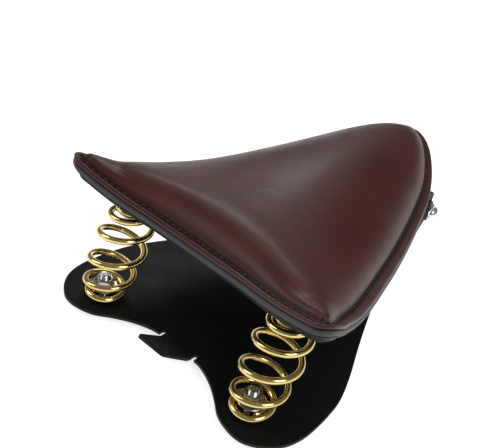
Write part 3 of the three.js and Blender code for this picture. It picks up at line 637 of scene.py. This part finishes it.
def cushion():
    """The stuffed cover as one closed skin: rings from its floor, round the edge and over the seam."""
    pinch = 0.5 + 0.5 * np.cos(2 * math.pi * seam_run() * STITCHES)
    gather = pucker_amount()
    slow = ripple(5, (9, 14, 23, 31))
    wave = 0.16 * slow
    recesses = [(-11, PIVOT_Y - 24, 12), (11, PIVOT_Y - 24, 12), (0, PIVOT_Y + 8, 12)]
    recesses += [(-HEAD_X, HEAD_Y, 15.5), (HEAD_X, HEAD_Y, 15.5)]
    rings = []
    painted_seam_shade = []

    def base(plan):
        return rim_height(plan[:, 0], plan[:, 1])

    def crown(plan):
        return base(plan) + FLANGE_TOP + field.at(plan)

    def floor(plan):
        height = pan_under(plan[:, 0], plan[:, 1]) + PAN_T + GAP
        for x, y, radius in recesses:
            near = np.hypot(plan[:, 0] - x, plan[:, 1] - y) < radius
            height = np.where(near, height + 9, height)
        return np.minimum(height, crown(plan) - 2)

    def add(plan, height, seam_shade=0.0):
        rings.append(ring(plan, height))
        painted_seam_shade.append(np.broadcast_to(seam_shade, (RIM_COUNT,)))

    floor_plan = inset(WALL_IN + PAN_T + 4)
    add(floor_plan, floor(floor_plan))
    wall_plan = inset(BAND_W + 0.5)
    add(wall_plan, base(wall_plan) - GAP)
    add(wall_plan, base(wall_plan) + FLANGE_BOTTOM)

    # The stitched edge: distance inside the rim, height over it, and how much painted shade darkens the
    # leather, most in the stitch groove and under the flange where it meets the band.
    for distance, lift, seam_shade in (
        (1.4, FLANGE_BOTTOM, 0.7),
        (0.75 + wave, FLANGE_BOTTOM + 0.25, 0.6),
        (0.45 + wave, FLANGE_BOTTOM + 0.8, 0.45),
        (0.4 + wave, FLANGE_BOTTOM + 1.5, 0.35),
        (0.5 + wave, FLANGE_TOP - 0.7, 0.3),
        (0.95 + wave, FLANGE_TOP - 0.2, 0.25),
        (1.8, FLANGE_TOP, 0.1),
        (3.4, FLANGE_TOP + 0.12, 0.0),
        (5.0, FLANGE_TOP + 0.14, 0.0),
        (6.1, FLANGE_TOP + 0.02, 0.15),
        (6.9, FLANGE_TOP - 0.4 - 0.2 * pinch, 0.6),
        (7.5, FLANGE_TOP - 0.95 - 0.3 * pinch, 1.0),
        (STITCH_IN + 0.3, FLANGE_TOP - 1.05 - 0.35 * pinch, 1.0),
        (8.7, FLANGE_TOP - 0.7 - 0.5 * gather * pinch, 0.8),
    ):
        plan = seam_inset(distance)
        add(plan, base(plan) + lift, seam_shade)

    # The shoulder, gathered at every stitch and wavy above it.
    for distance in (9.2, 9.7, 10.3, 11.1, 12.0, 13.0, 14.2, 15.6, 17.2, 19.0, 21.2, 23.8):
        plan = seam_inset(distance)
        fade = math.exp(-(((distance - 10.2) / 4.6) ** 2))
        slope = math.exp(-(((distance - 12.5) / 5.5) ** 2))
        folds = -gather * (1.25 * pinch - 0.25) * fade + 0.5 * gather * slow * slope
        height = base(plan) + FLANGE_TOP + field.at(inset(distance))
        # The shoulder just inside the groove takes a little painted shade as well.
        add(plan, height + folds, 0.45 * math.exp(-((distance - 9) / 1.6) ** 2))

    skin = capped_skin("leather_cushion", rings, floor, crown)
    # Amount of painted shade at each vertex, read by the leather's colour.
    values = skin.data.attributes.new("painted_seam_shade", "FLOAT", "POINT")
    shades = np.zeros(len(skin.data.vertices), np.float32)
    shades[: len(rings) * RIM_COUNT] = np.concatenate(painted_seam_shade)
    values.data.foreach_set("value", shades)
    return skin


def stitches():
    """One slanted stitch after another along the groove."""
    run = seam_run()
    line = seam_inset(STITCH_IN + 0.1)
    height = rim_height(line[:, 0], line[:, 1]) + FLANGE_TOP - 0.55
    track = np.concatenate([np.column_stack([line, height]), [[*line[0], height[0]]]])
    at = np.concatenate([run, [1.0]])

    def where(share):
        return np.array([np.interp(share % 1.0, at, track[:, k]) for k in range(3)])

    rng = np.random.default_rng(11)
    points = []
    faces = []
    sides = 8
    steps = 7
    radius = 0.52
    for k in range(STITCHES):
        middle = (k + 0.5) / STITCHES
        half = 0.37 / STITCHES
        slant = 0.16 + rng.uniform(-0.05, 0.05)
        ahead = where(middle + half) - where(middle - half)
        along = ahead / np.linalg.norm(ahead)
        across = np.cross((0, 0, 1), along)
        across /= np.linalg.norm(across)
        up = np.cross(along, across)
        start = len(points)
        for s in range(steps + 1):
            t = s / steps * 2 - 1
            spot = where(middle + half * t) + across * slant * t * 1.6
            spot = spot + up * (0.42 * (1 - t * t) - 0.75 * abs(t) ** 4)
            r = radius * (1 - 0.35 * t**4)
            for q in range(sides):
                a = 2 * math.pi * q / sides
                points.append(spot + across * r * math.cos(a) + up * r * 0.85 * math.sin(a))
        for s in range(steps):
            for q in range(sides):
                a = start + s * sides
                p = (q + 1) % sides
                faces.append((a + q, a + p, a + sides + p, a + sides + q))
        faces.append(tuple(start + q for q in reversed(range(sides))))
        faces.append(tuple(start + steps * sides + q for q in range(sides)))
    return mesh_object("perimeter_stitches", points, faces)


seat = cushion()
dress(seat, LEATHER, "seat", ["leather_cover", "foam_pad"])
dress(stitches(), THREAD, "seat", ["cover_stitching"])


# ---------------------------------------------------------------- edge band and pan
def edge_band():
    def at(distance, lift):
        plan = inset(distance)
        return ring(plan, rim_height(plan[:, 0], plan[:, 1]) + lift)

    edge = [(1.5, 0), (0.8, 0.12), (0.3, 0.5), (0.05, 1.1)]
    upper = [(d, BAND_T - z) for d, z in edge]
    section = [(BAND_W, 0.2), (BAND_W, BAND_T), *upper, (0, BAND_T / 2), *reversed(edge), (BAND_W - 0.6, 0)]
    return loft("edge_band_trim", [at(d, z) for d, z in section])


def pan_shell():
    def rim(distance, lift):
        plan = inset(distance)
        return ring(plan, rim_height(plan[:, 0], plan[:, 1]) + lift)

    def over(distance, shape, lift=0.0):
        plan = inset(distance)
        return ring(plan, shape(plan[:, 0], plan[:, 1]) + lift)

    def top(x, y):
        return pan_under(x, y) + PAN_T

    rings = [
        over(WALL_IN + PAN_T + 2.6, top),
        over(WALL_IN + PAN_T + 0.5, top, 0.9),
        rim(WALL_IN + PAN_T, -GAP - 1),
        rim(WALL_IN + PAN_T, -GAP),
        rim(2.5, -GAP),
        rim(2.1, -GAP - 0.3),
        rim(2, -GAP - 0.9),
        rim(2.1, -GAP - PAN_T + 0.4),
        rim(2.6, -GAP - PAN_T),
        rim(WALL_IN - 0.8, -GAP - PAN_T),
        rim(WALL_IN, -GAP - PAN_T - 0.8),
        over(WALL_IN + 0.3, pan_under, 1.1),
        over(WALL_IN + 1.2, pan_under, 0.3),
        over(WALL_IN + 2.5, pan_under),
    ]
    return capped_skin("pan_shell", rings, lambda plan: top(*plan.T), lambda plan: pan_under(*plan.T), 5)


def circle(x, y, radius, count=40):
    angles = [2 * math.pi * k / count for k in range(count)]
    return [(x + radius * math.cos(a), y + radius * math.sin(a)) for a in angles]


def round_loop(bm, radius, z, sides):
    return [bm.verts.new((x, y, z)) for x, y in circle(0, 0, radius, sides)]


def bridge(bm, first, second):
    """Quads between two loops of vertices."""
    sides = len(first)
    for k in range(sides):
        j = (k + 1) % sides
        bm.faces.new((first[k], first[j], second[j], second[k]))


def skin_over(bm, loops):
    """Quads over successive loops, with a face over the first and the last."""
    for first, second in zip(loops, loops[1:]):
        bridge(bm, first, second)
    bm.faces.new(list(reversed(loops[0])))
    bm.faces.new(loops[-1])


def turned(name, section, sides=48):
    """Solid of revolution about Z from (radius, z) pairs; it closes on itself or on the axis."""
    bm = bmesh.new()
    loops = []
    for r, z in section:
        if r < 1e-6:
            loops.append([bm.verts.new((0, 0, z))])
        else:
            loops.append(round_loop(bm, r, z, sides))
    on_axis = section[0][0] < 1e-6 and section[-1][0] < 1e-6
    pairs = list(zip(loops, loops[1:])) + ([] if on_axis else [(loops[-1], loops[0])])
    for a, b in pairs:
        for k in range(sides):
            j = (k + 1) % sides
            corners = [a[k % len(a)], a[j % len(a)], b[j % len(b)], b[k % len(b)]]
            unique = list(dict.fromkeys(corners))
            if len(unique) > 2:
                bm.faces.new(unique)
    return from_bmesh(name, bm, 35)


def pan_bosses():
    made = []
    for side in (-1, 1):
        low = SPRING_TOP + GAP
        high = pan_under(HEAD_X + 8, HEAD_Y - 8) + PAN_T + 0.6
        outside = [(10.9, low), (11.5, low + 0.6), (11.5, high - 0.6), (10.9, high)]
        boss = turned(f"boss_{side}", [(4.4, low), *outside, (4.4, high)])
        boss.data.transform(Matrix.Translation(Vector((side * HEAD_X, HEAD_Y, 0)) + SHIFT))
        boss.data.transform(Matrix.Scale(0.001, 4))
        made.append(boss)
    return made


dress(edge_band(), EDGE, "seat", ["edge_band"])
dress(join_into(pan_shell(), pan_bosses()), POWDER, "seat", ["seat_pan"])


# ---------------------------------------------------------------- mounting plate
TAB_ROOT = 5.0
TAB_HALF = 15.0
TAB_LENGTH = 30.0
TAB_ANGLE = math.radians(35)
BEND = 6.0 + PLATE_T / 2
BEND_LENGTH = BEND * TAB_ANGLE
BEND_STEPS = 12
NOTCH_W = 3.0
FRAME_HOLE = 4.25
SPRING_HOLE = 4.4
SCREW_HOLE = 3.4


def curve_plate(name, outline, holes, thickness, bevel, height):
    """Flat plate with rounded edges from a filled curve; lengths in millimetres."""
    curve = bpy.data.curves.new(name, "CURVE")
    curve.dimensions = "2D"
    curve.fill_mode = "BOTH"
    for points in [outline, *holes]:
        spline = curve.splines.new("POLY")
        spline.points.add(len(points) - 1)
        for spot, (x, y) in zip(spline.points, points):
            spot.co = (x, y, 0, 1)
        spline.use_cyclic_u = True
    curve.extrude = thickness / 2 - bevel
    curve.bevel_depth = bevel
    curve.bevel_resolution = 2
    curve.offset = -bevel
    helper = bpy.data.objects.new(name, curve)
    scene.collection.objects.link(helper)
    depsgraph = bpy.context.evaluated_depsgraph_get()
    mesh = bpy.data.meshes.new_from_object(helper.evaluated_get(depsgraph))
    bpy.data.objects.remove(helper)
    mesh.transform(Matrix.Translation((0, 0, height)))
    return add_object(name, mesh)


def plate_outline():
    """The plate's flat outline with the tab and its two slots, before the tab is bent up."""
    outline = closed_outline(PLATE_SHAPE, FOOT_X + LOBE_REACH, -PLATE_REAR, PIVOT_Y + PLATE_NOSE, 360)
    slot_x = TAB_HALF + NOTCH_W
    keep = [tuple(p) for p in outline if not (abs(p[0]) < slot_x and p[1] < 20)]
    start = next(i for i, p in enumerate(keep) if p[0] > 0 and keep[i - 1][0] < 0 and p[1] < 60)
    keep = keep[start:] + keep[:start]
    tip = TAB_ROOT - BEND_LENGTH - TAB_LENGTH
    tip_x = TAB_HALF - 3.5 * (TAB_LENGTH + BEND_LENGTH) / 60
    corner = 2.4
    right = [
        (tip_x - corner, tip),
        (tip_x - 0.7, tip + 0.7),
        (tip_x, tip + corner),
        (TAB_HALF, TAB_ROOT),
        (TAB_HALF, TAB_ROOT + 4),
        (TAB_HALF + 0.9, TAB_ROOT + 5),
        (slot_x - 0.9, TAB_ROOT + 5),
        (slot_x, TAB_ROOT + 4),
        (slot_x, keep[0][1]),
    ]
    left = [(-x, y) for x, y in reversed(right)]
    return keep + left + right


def base_plate():
    holes = [circle(0, TAB_ROOT - BEND_LENGTH - TAB_LENGTH * 0.56, FRAME_HOLE)]
    holes += [circle(x, PIVOT_Y / 2, FRAME_HOLE) for x in (-30, 30)]
    holes += [circle(x, PIVOT_Y - 42, SCREW_HOLE) for x in (-24, 24)]
    holes += [circle(x, 0, SPRING_HOLE) for x in (-FOOT_X, FOOT_X)]
    piece = curve_plate("mounting_plate", plate_outline(), holes, PLATE_T, 0.45, -PLATE_T / 2)
    bm = bmesh.new()
    bm.from_mesh(piece.data)
    bmesh.ops.remove_doubles(bm, verts=bm.verts, dist=1e-4)
    for k in range(BEND_STEPS + 1):
        y = TAB_ROOT - BEND_LENGTH * k / BEND_STEPS
        geometry = bm.verts[:] + bm.edges[:] + bm.faces[:]
        bmesh.ops.bisect_plane(bm, geom=geometry, plane_co=(0, y, 0), plane_no=(0, 1, 0), dist=1e-5)
    for vert in bm.verts:
        x, y, z = vert.co
        if abs(x) > TAB_HALF + 1 or y >= TAB_ROOT:
            continue
        radius = BEND - (z + PLATE_T / 2)
        angle = min(TAB_ANGLE, (TAB_ROOT - y) / BEND)
        beyond = (TAB_ROOT - y) - angle * BEND
        vert.co.y = TAB_ROOT - radius * math.sin(angle) - beyond * math.cos(angle)
        vert.co.z = BEND - PLATE_T / 2 - radius * math.cos(angle) + beyond * math.sin(angle)
    for vert in bm.verts:
        vert.co = place(vert.co)
    bmesh.ops.recalc_face_normals(bm, faces=bm.faces)
    bm.to_mesh(piece.data)
    bm.free()
    piece.data.shade_smooth()
    smooth_by_angle(piece, 40)
    return piece


dress(base_plate(), POWDER, "base", ["base_plate"])

for name in ("base_bracket", "nose_bracket"):
    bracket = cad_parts[name]
    bracket.data.materials.clear()
    bracket.data.materials.append(POWDER)
    bevel = bracket.modifiers.new("edges", "BEVEL")
    bevel.width = 0.0006
    bevel.segments = 3
    bevel.limit_method = "ANGLE"
    bevel.angle_limit = math.radians(35)
    bevel.harden_normals = False


# ---------------------------------------------------------------- springs
def spring_line(side, t):
    turn = t * COILS
    low, high = SPRING_FOOT + WIRE / 2, SPRING_TOP - WIRE / 2
    rise = np.clip((turn - 0.95) / (COILS - 1.9), 0, 1)
    eased = rise - 0.3 * np.sin(2 * math.pi * rise) / (2 * math.pi)
    end = np.minimum(turn, COILS - turn)
    radius = 8.6 + 10.2 * np.minimum(1, end / 2.35) ** 0.75
    angle = -0.6 * side + turn * 2 * math.pi
    level = np.clip((end - 0.95) / 1.35, 0, 1)
    tilt = COIL_TILT * level * level * (3 - 2 * level)
    x = side * (FOOT_X + (HEAD_X - FOOT_X) * eased) + radius * np.cos(angle)
    y = HEAD_Y * eased + radius * np.sin(angle)
    return np.stack([x, y, low + (high - low) * eased - tilt * radius * np.sin(angle)], 1)


def tube(name, line, radius, sides=20):
    """Round wire along a line, with a frame that doesn't twist and softly cut ends."""
    ahead = np.gradient(line, axis=0)
    ahead /= np.linalg.norm(ahead, axis=1)[:, None]
    side = np.cross(ahead[0], (0, 0, 1))
    side /= np.linalg.norm(side)
    stations = []
    for spot, along in zip(line, ahead):
        side = side - along * float(side @ along)
        side /= np.linalg.norm(side)
        stations.append((spot, side.copy(), np.cross(along, side), along))
    points = []

    def add_circle(station, scale=1.0, push=0.0):
        spot, across, up, along = station
        for x, y in circle(0, 0, radius * scale, sides):
            points.append(spot + along * push + across * x + up * y)

    add_circle(stations[0], scale=0.84)
    add_circle(stations[0], push=0.4)
    for station in stations[2:-2]:
        add_circle(station)
    add_circle(stations[-1], push=-0.4)
    add_circle(stations[-1], scale=0.84)
    count = len(points) // sides
    faces = loft_faces(count, sides, False)
    faces.append(tuple(reversed(range(sides))))
    faces.append(tuple(range((count - 1) * sides, count * sides)))
    piece = mesh_object(name, points, faces)
    smooth_by_angle(piece, 50)
    return piece


for side, name in ((-1, "left"), (1, "right")):
    wire = tube(f"barrel_spring_{name}", spring_line(side, np.linspace(0, 1, 560)), WIRE / 2)
    wire.data.materials.append(GOLD)
    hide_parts(f"spring_{name}")
    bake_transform(wire)


# ---------------------------------------------------------------- fasteners
def hex_prism(bm, across_flats, z0, z1, chamfer_top=True, chamfer_bottom=True, bore=0.0):
    """Hexagon whose corners are turned off at 28 degrees, with an optional countersunk bore."""
    sides = 72
    inner = across_flats / 2 * 0.95
    slope = math.tan(math.radians(28))

    def radius_at(a):
        local = (a % (math.pi / 3)) - math.pi / 6
        return across_flats / 2 / math.cos(local)

    def add_loop(radii, heights):
        return [
            bm.verts.new((r * math.cos(a), r * math.sin(a), z)) for r, a, z in zip(radii, angles, heights)
        ]

    angles = [2 * math.pi * k / sides + math.pi / 6 for k in range(sides)]
    outer = [radius_at(a) for a in angles]
    drop = [max(0.0, (r - inner) * slope) for r in outer]
    loops = []
    hole = bore if bore else 0.001
    if bore:
        loops.append(add_loop([hole] * sides, [z0 + 0.5] * sides))
        loops.append(add_loop([hole + 0.5] * sides, [z0] * sides))
    loops.append(add_loop([inner] * sides, [z0] * sides))
    loops.append(add_loop(outer, [z0 + (d if chamfer_bottom else 0.15) for d in drop]))
    loops.append(add_loop(outer, [z1 - (d if chamfer_top else 0.15) for d in drop]))
    loops.append(add_loop([inner] * sides, [z1] * sides))
    if bore:
        loops.append(add_loop([hole + 0.5] * sides, [z1] * sides))
        loops.append(add_loop([hole] * sides, [z1 - 0.5] * sides))
    if bore:
        for first, second in zip(loops, loops[1:] + [loops[0]]):
            bridge(bm, first, second)
    else:
        skin_over(bm, loops)


def threaded(bm, radius, pitch, z0, z1, sides=28):
    """Rod with a real helical thread and chamfered end at z1."""
    depth = pitch * 0.5
    steps = max(4, int((z1 - z0) / pitch * 8))
    loops = []
    for s in range(steps + 1):
        z = z0 + (z1 - z0) * s / steps
        loop = []
        for q in range(sides):
            a = 2 * math.pi * q / sides
            phase = ((z / pitch - q / sides) % 1.0)
            tooth = abs(phase * 2 - 1)
            r = radius - depth * (1 - min(1, tooth * 1.15))
            r = min(r, radius - 0.9 + (z1 - z) * 0.9, radius)
            loop.append(bm.verts.new((r * math.cos(a), r * math.sin(a), z)))
        loops.append(loop)
    skin_over(bm, loops)


def cylinder(bm, radius, z0, z1, sides=40, edge=0.25):
    section = [(radius - edge, z0), (radius, z0 + edge), (radius, z1 - edge), (radius - edge, z1)]
    skin_over(bm, [round_loop(bm, r, z, sides) for r, z in section])


def turn_over(bm):
    bmesh.ops.rotate(bm, verts=bm.verts, cent=(0, 0, 0), matrix=Matrix.Rotation(math.pi, 3, "X"))


def hex_nut(name, across_flats, z0, z1, bore):
    bm = bmesh.new()
    hex_prism(bm, across_flats, z0, z1, bore=bore)
    return from_bmesh(name, bm)


def washer(name, inner, outer, thickness, edge=0.25):
    half = thickness / 2
    section = [
        (inner, -half + edge),
        (inner + edge, -half),
        (outer - edge, -half),
        (outer, -half + edge),
        (outer, half - edge),
        (outer - edge, half),
        (inner + edge, half),
        (inner, half - edge),
    ]
    return turned(name, section, ROUND)


def settle(piece, node, body, material, turn=None, spot=None):
    """Moves a piece made about its own origin in millimetres to where its CAD node is."""
    centre = centre_of(node) if spot is None else spot
    matrix = Matrix.Translation(centre) @ (turn or Matrix.Identity(4)) @ Matrix.Scale(0.001, 4)
    piece.data.transform(matrix)
    return dress(piece, material, body, [node])


def height_of(node):
    return size_of(node).z * 1000


def width_of(node):
    return size_of(node).x * 1000


ROUND = 56
ALONG_X = Matrix.Rotation(math.pi / 2, 4, "Y")
HINGE_AXIS = Vector((0, HINGE.y, HINGE.z)) / 1000
TILT = Matrix.Rotation(math.atan(NOSE_RISE), 4, "X")


def spring_clamp(name, level, body, spin):
    """Washer and nut that hold one end of a spring."""
    disc = washer(f"{level}_spring_washer_{name}", M8 + 0.4, 10, height_of(f"{level}_washer_{name}"))
    settle(disc, f"{level}_washer_{name}", body, ZINC)
    half = height_of(f"{level}_nut_{name}") / 2
    nut = hex_nut(f"{level}_spring_nut_{name}", M8_FLATS, -half, half, M8 + 0.2)
    settle(nut, f"{level}_nut_{name}", body, ZINC, spin)


def lower_spring_bolt(name, spin):
    half = height_of(f"lower_bolt_{name}") / 2
    bm = bmesh.new()
    hex_prism(bm, M8_FLATS, -half, -half + 6, chamfer_top=False)
    threaded(bm, M8, 1.25, -half + 4, half)
    bolt = from_bmesh(f"lower_spring_bolt_{name}", bm)
    settle(bolt, f"lower_bolt_{name}", "base", ZINC, spin)


def upper_spring_bolt(name):
    """Bolt with a low round head that hangs down through the pan."""
    top = height_of(f"upper_bolt_{name}") / 2
    bm = bmesh.new()
    threaded(bm, M8, 1.25, -top + 3, top)
    turn_over(bm)
    bolt = from_bmesh(f"upper_spring_bolt_{name}", bm, 35)
    rim = [(7.8, top - 3.6), (8, top - 3.4), (7.6, top - 2.2), (6.2, top - 1), (3.4, top - 0.2)]
    join_into(bolt, [turned("bolt_head", [(0, top - 3.6), *rim, (0, top)])])
    smooth_by_angle(bolt, 35)
    settle(bolt, f"upper_bolt_{name}", "seat", ZINC)


def hinge_rubbers(name):
    """Washer outside the ear and flanged bush inside it."""
    disc = washer(f"hinge_washer_{name}", 5.4, 10, width_of(f"pivot_washer_{name}"), 0.35)
    settle(disc, f"pivot_washer_{name}", "base", RUBBER, ALONG_X)
    half = width_of(f"pivot_bush_{name}") / 2
    collar = [(5.4, 0), (8.4, 0), (9, 0.6), (9, 2.6), (8.2, 3.4)]
    section = [(r, z - half) for r, z in collar] + [(r, half - z) for r, z in reversed(collar)]
    bush = turned(f"hinge_bush_{name}", section, ROUND)
    settle(bush, f"pivot_bush_{name}", "base", RUBBER, ALONG_X)


def bracket_screw(name):
    half = height_of(f"bracket_bolt_{name}") / 2
    bm = bmesh.new()
    hex_prism(bm, M6_FLATS, half - 4, half, chamfer_bottom=False)
    threaded(bm, M6, 1.0, -half, half - 2)
    settle(from_bmesh(f"bracket_screw_{name}", bm), f"bracket_bolt_{name}", "base", ZINC)
    half = height_of(f"bracket_nut_{name}") / 2
    nut = hex_nut(f"bracket_screw_nut_{name}", M6_FLATS, -half, half, M6 + 0.2)
    settle(nut, f"bracket_nut_{name}", "base", ZINC)


def pan_screw(name, x, y):
    """Round-headed screw and nut, square to the sloping middle of the pan."""
    at = place((x, y, pan_plane(y)))
    bm = bmesh.new()
    threaded(bm, M6, 1.0, -PAN_T - 1, 13.0)
    turn_over(bm)
    screw = from_bmesh(f"pan_screw_{name}", bm, 35)
    rim = [(5.9, 1), (6, 1.2), (5.5, 2.6), (3.6, 3.9)]
    head = [(0, PAN_T + 1), *((r, PAN_T + z) for r, z in rim), (0, PAN_T + 4.2)]
    join_into(screw, [turned("screw_head", head)])
    smooth_by_angle(screw, 35)
    settle(screw, f"pan_bolt_{name}", "seat", ZINC, TILT, at)
    nut = hex_nut(f"pan_screw_nut_{name}", M6_FLATS, -11.2, -6.2, M6 + 0.2)
    settle(nut, f"pan_nut_{name}", "seat", ZINC, TILT, at)


def hinge_sleeve():
    half = width_of("pivot_sleeve") / 2
    outside = [(7.6, -half), (8, -half + 0.4), (8, half - 0.4), (7.6, half)]
    sleeve = turned("hinge_sleeve", [(5.4, -half), *outside, (5.4, half)], ROUND)
    settle(sleeve, "pivot_sleeve", "seat", ZINC, ALONG_X)


def hinge_bolt():
    low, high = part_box("pivot_bolt")
    left = low.x * 1000
    right = high.x * 1000
    bm = bmesh.new()
    hex_prism(bm, HINGE_FLATS, left, left + 6.4, chamfer_top=False)
    cylinder(bm, 5.0, left + 5, right - 14)
    threaded(bm, 4.95, 1.5, right - 14.5, right)
    settle(from_bmesh("hinge_bolt", bm), "pivot_bolt", "base", ZINC, ALONG_X, HINGE_AXIS)


def hinge_dome_nut():
    low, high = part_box("pivot_dome_nut")
    start = low.x * 1000
    end = high.x * 1000
    bm = bmesh.new()
    hex_prism(bm, HINGE_FLATS, start, start + 5)
    nut = from_bmesh("hinge_dome_nut", bm, 35)
    radius = 7.0
    foot = start + 4.6
    profile = [(0, start + 3.5), (radius, start + 3.5), (radius, foot)]
    for a in np.linspace(0.1, math.pi / 2 - 0.08, 10):
        profile.append((radius * math.cos(a), foot + (end - foot) * math.sin(a)))
    profile.append((0, end))
    join_into(nut, [turned("dome", profile)])
    smooth_by_angle(nut, 35)
    settle(nut, "pivot_dome_nut", "base", CHROME, ALONG_X, HINGE_AXIS)


for side, name in ((-1, "left"), (1, "right")):
    spin = Matrix.Rotation(math.radians(17 * side), 4, "Z")
    seat_ring = washer(f"spring_seat_{name}", M8 + 0.4, 11.5, height_of(f"spring_seat_ring_{name}"), 0.7)
    settle(seat_ring, f"spring_seat_ring_{name}", "base", GOLD)
    spring_clamp(name, "lower", "base", spin)
    spring_clamp(name, "upper", "seat", spin)
    lower_spring_bolt(name, spin)
    upper_spring_bolt(name)
    hinge_rubbers(name)
    bracket_screw(name)
for name, x, y in (("left", -11, PIVOT_Y - 24), ("right", 11, PIVOT_Y - 24), ("front", 0, PIVOT_Y + 8)):
    pan_screw(name, x, y)
hinge_sleeve()
hinge_bolt()
hinge_dome_nut()


# ---------------------------------------------------------------- floor, light and camera
def floor_plane():
    mesh = bpy.data.meshes.new("studio_floor")
    mesh.from_pydata([(-6, -6, 0), (6, -6, 0), (6, 6, 0), (-6, 6, 0)], [], [(0, 1, 2, 3)])
    piece = add_object("studio_floor", mesh)
    n = Nodes("pale_floor")
    n.set(Roughness=0.9, Specular_IOR_Level=0.1)
    n.set(Emission_Strength=0.75, Emission_Color=(1, 1, 1, 1))
    tone = n.ramp(n.noise(3, 2), 0.3, 0.7)
    piece.data.materials.append(n.finish(n.mix(tone, (0.86, 0.86, 0.86), (0.88, 0.88, 0.88))))


floor_plane()


def soft_light(name, position, target, width, depth, power):
    light = bpy.data.lights.new(name, "AREA")
    light.shape = "RECTANGLE"
    light.size = width
    light.size_y = depth
    light.energy = power
    lamp = bpy.data.objects.new(name, light)
    scene.collection.objects.link(lamp)
    lamp.location = position
    lamp.rotation_mode = "QUATERNION"
    lamp.rotation_quaternion = (Vector(target) - Vector(position)).to_track_quat("-Z", "Y")


soft_light("rear_softbox", (-0.62, 0.66, 0.86), (-0.05, 0, 0.08), 0.4, 0.25, 2.6)
soft_light("right_softbox", (1.1, -0.35, 1.0), (0, 0, 0.05), 0.7, 0.9, 9)
soft_light("left_softbox", (-1.1, -0.75, 0.9), (0, 0, 0.05), 0.6, 0.9, 6)

world = bpy.data.worlds.new("studio")
world.use_nodes = True
scene.world = world
sky = world.node_tree.nodes["Background"]
sky.inputs["Color"].default_value = (1, 1, 1, 1)
sky.inputs["Strength"].default_value = 0.22

# The photograph's viewpoint. It was fitted to the plate's lobes, the tab and the springs, and after
# that to the outlines of the leather and of the whole seat. Angles are in degrees.
VIEW_FROM = (270.2, -337.0, 397.4)
VIEW_TURN = 34.016
VIEW_DOWN = 32.849
VIEW_ROLL = 12.707

camera_data = bpy.data.cameras.new("photo_camera")
camera_data.sensor_width = 36
camera_data.lens = 57.45
camera_data.clip_start = 0.01
camera_data.clip_end = 20
camera = bpy.data.objects.new("photo_camera", camera_data)
scene.collection.objects.link(camera)
pose = Matrix.Translation(place(VIEW_FROM))
for degrees, axis in ((VIEW_TURN, "Z"), (90 - VIEW_DOWN, "X"), (VIEW_ROLL, "Z")):
    pose = pose @ Matrix.Rotation(math.radians(degrees), 4, axis)
camera.matrix_world = pose
scene.camera = camera

scene.view_settings.view_transform = "Standard"
scene.view_settings.look = "None"
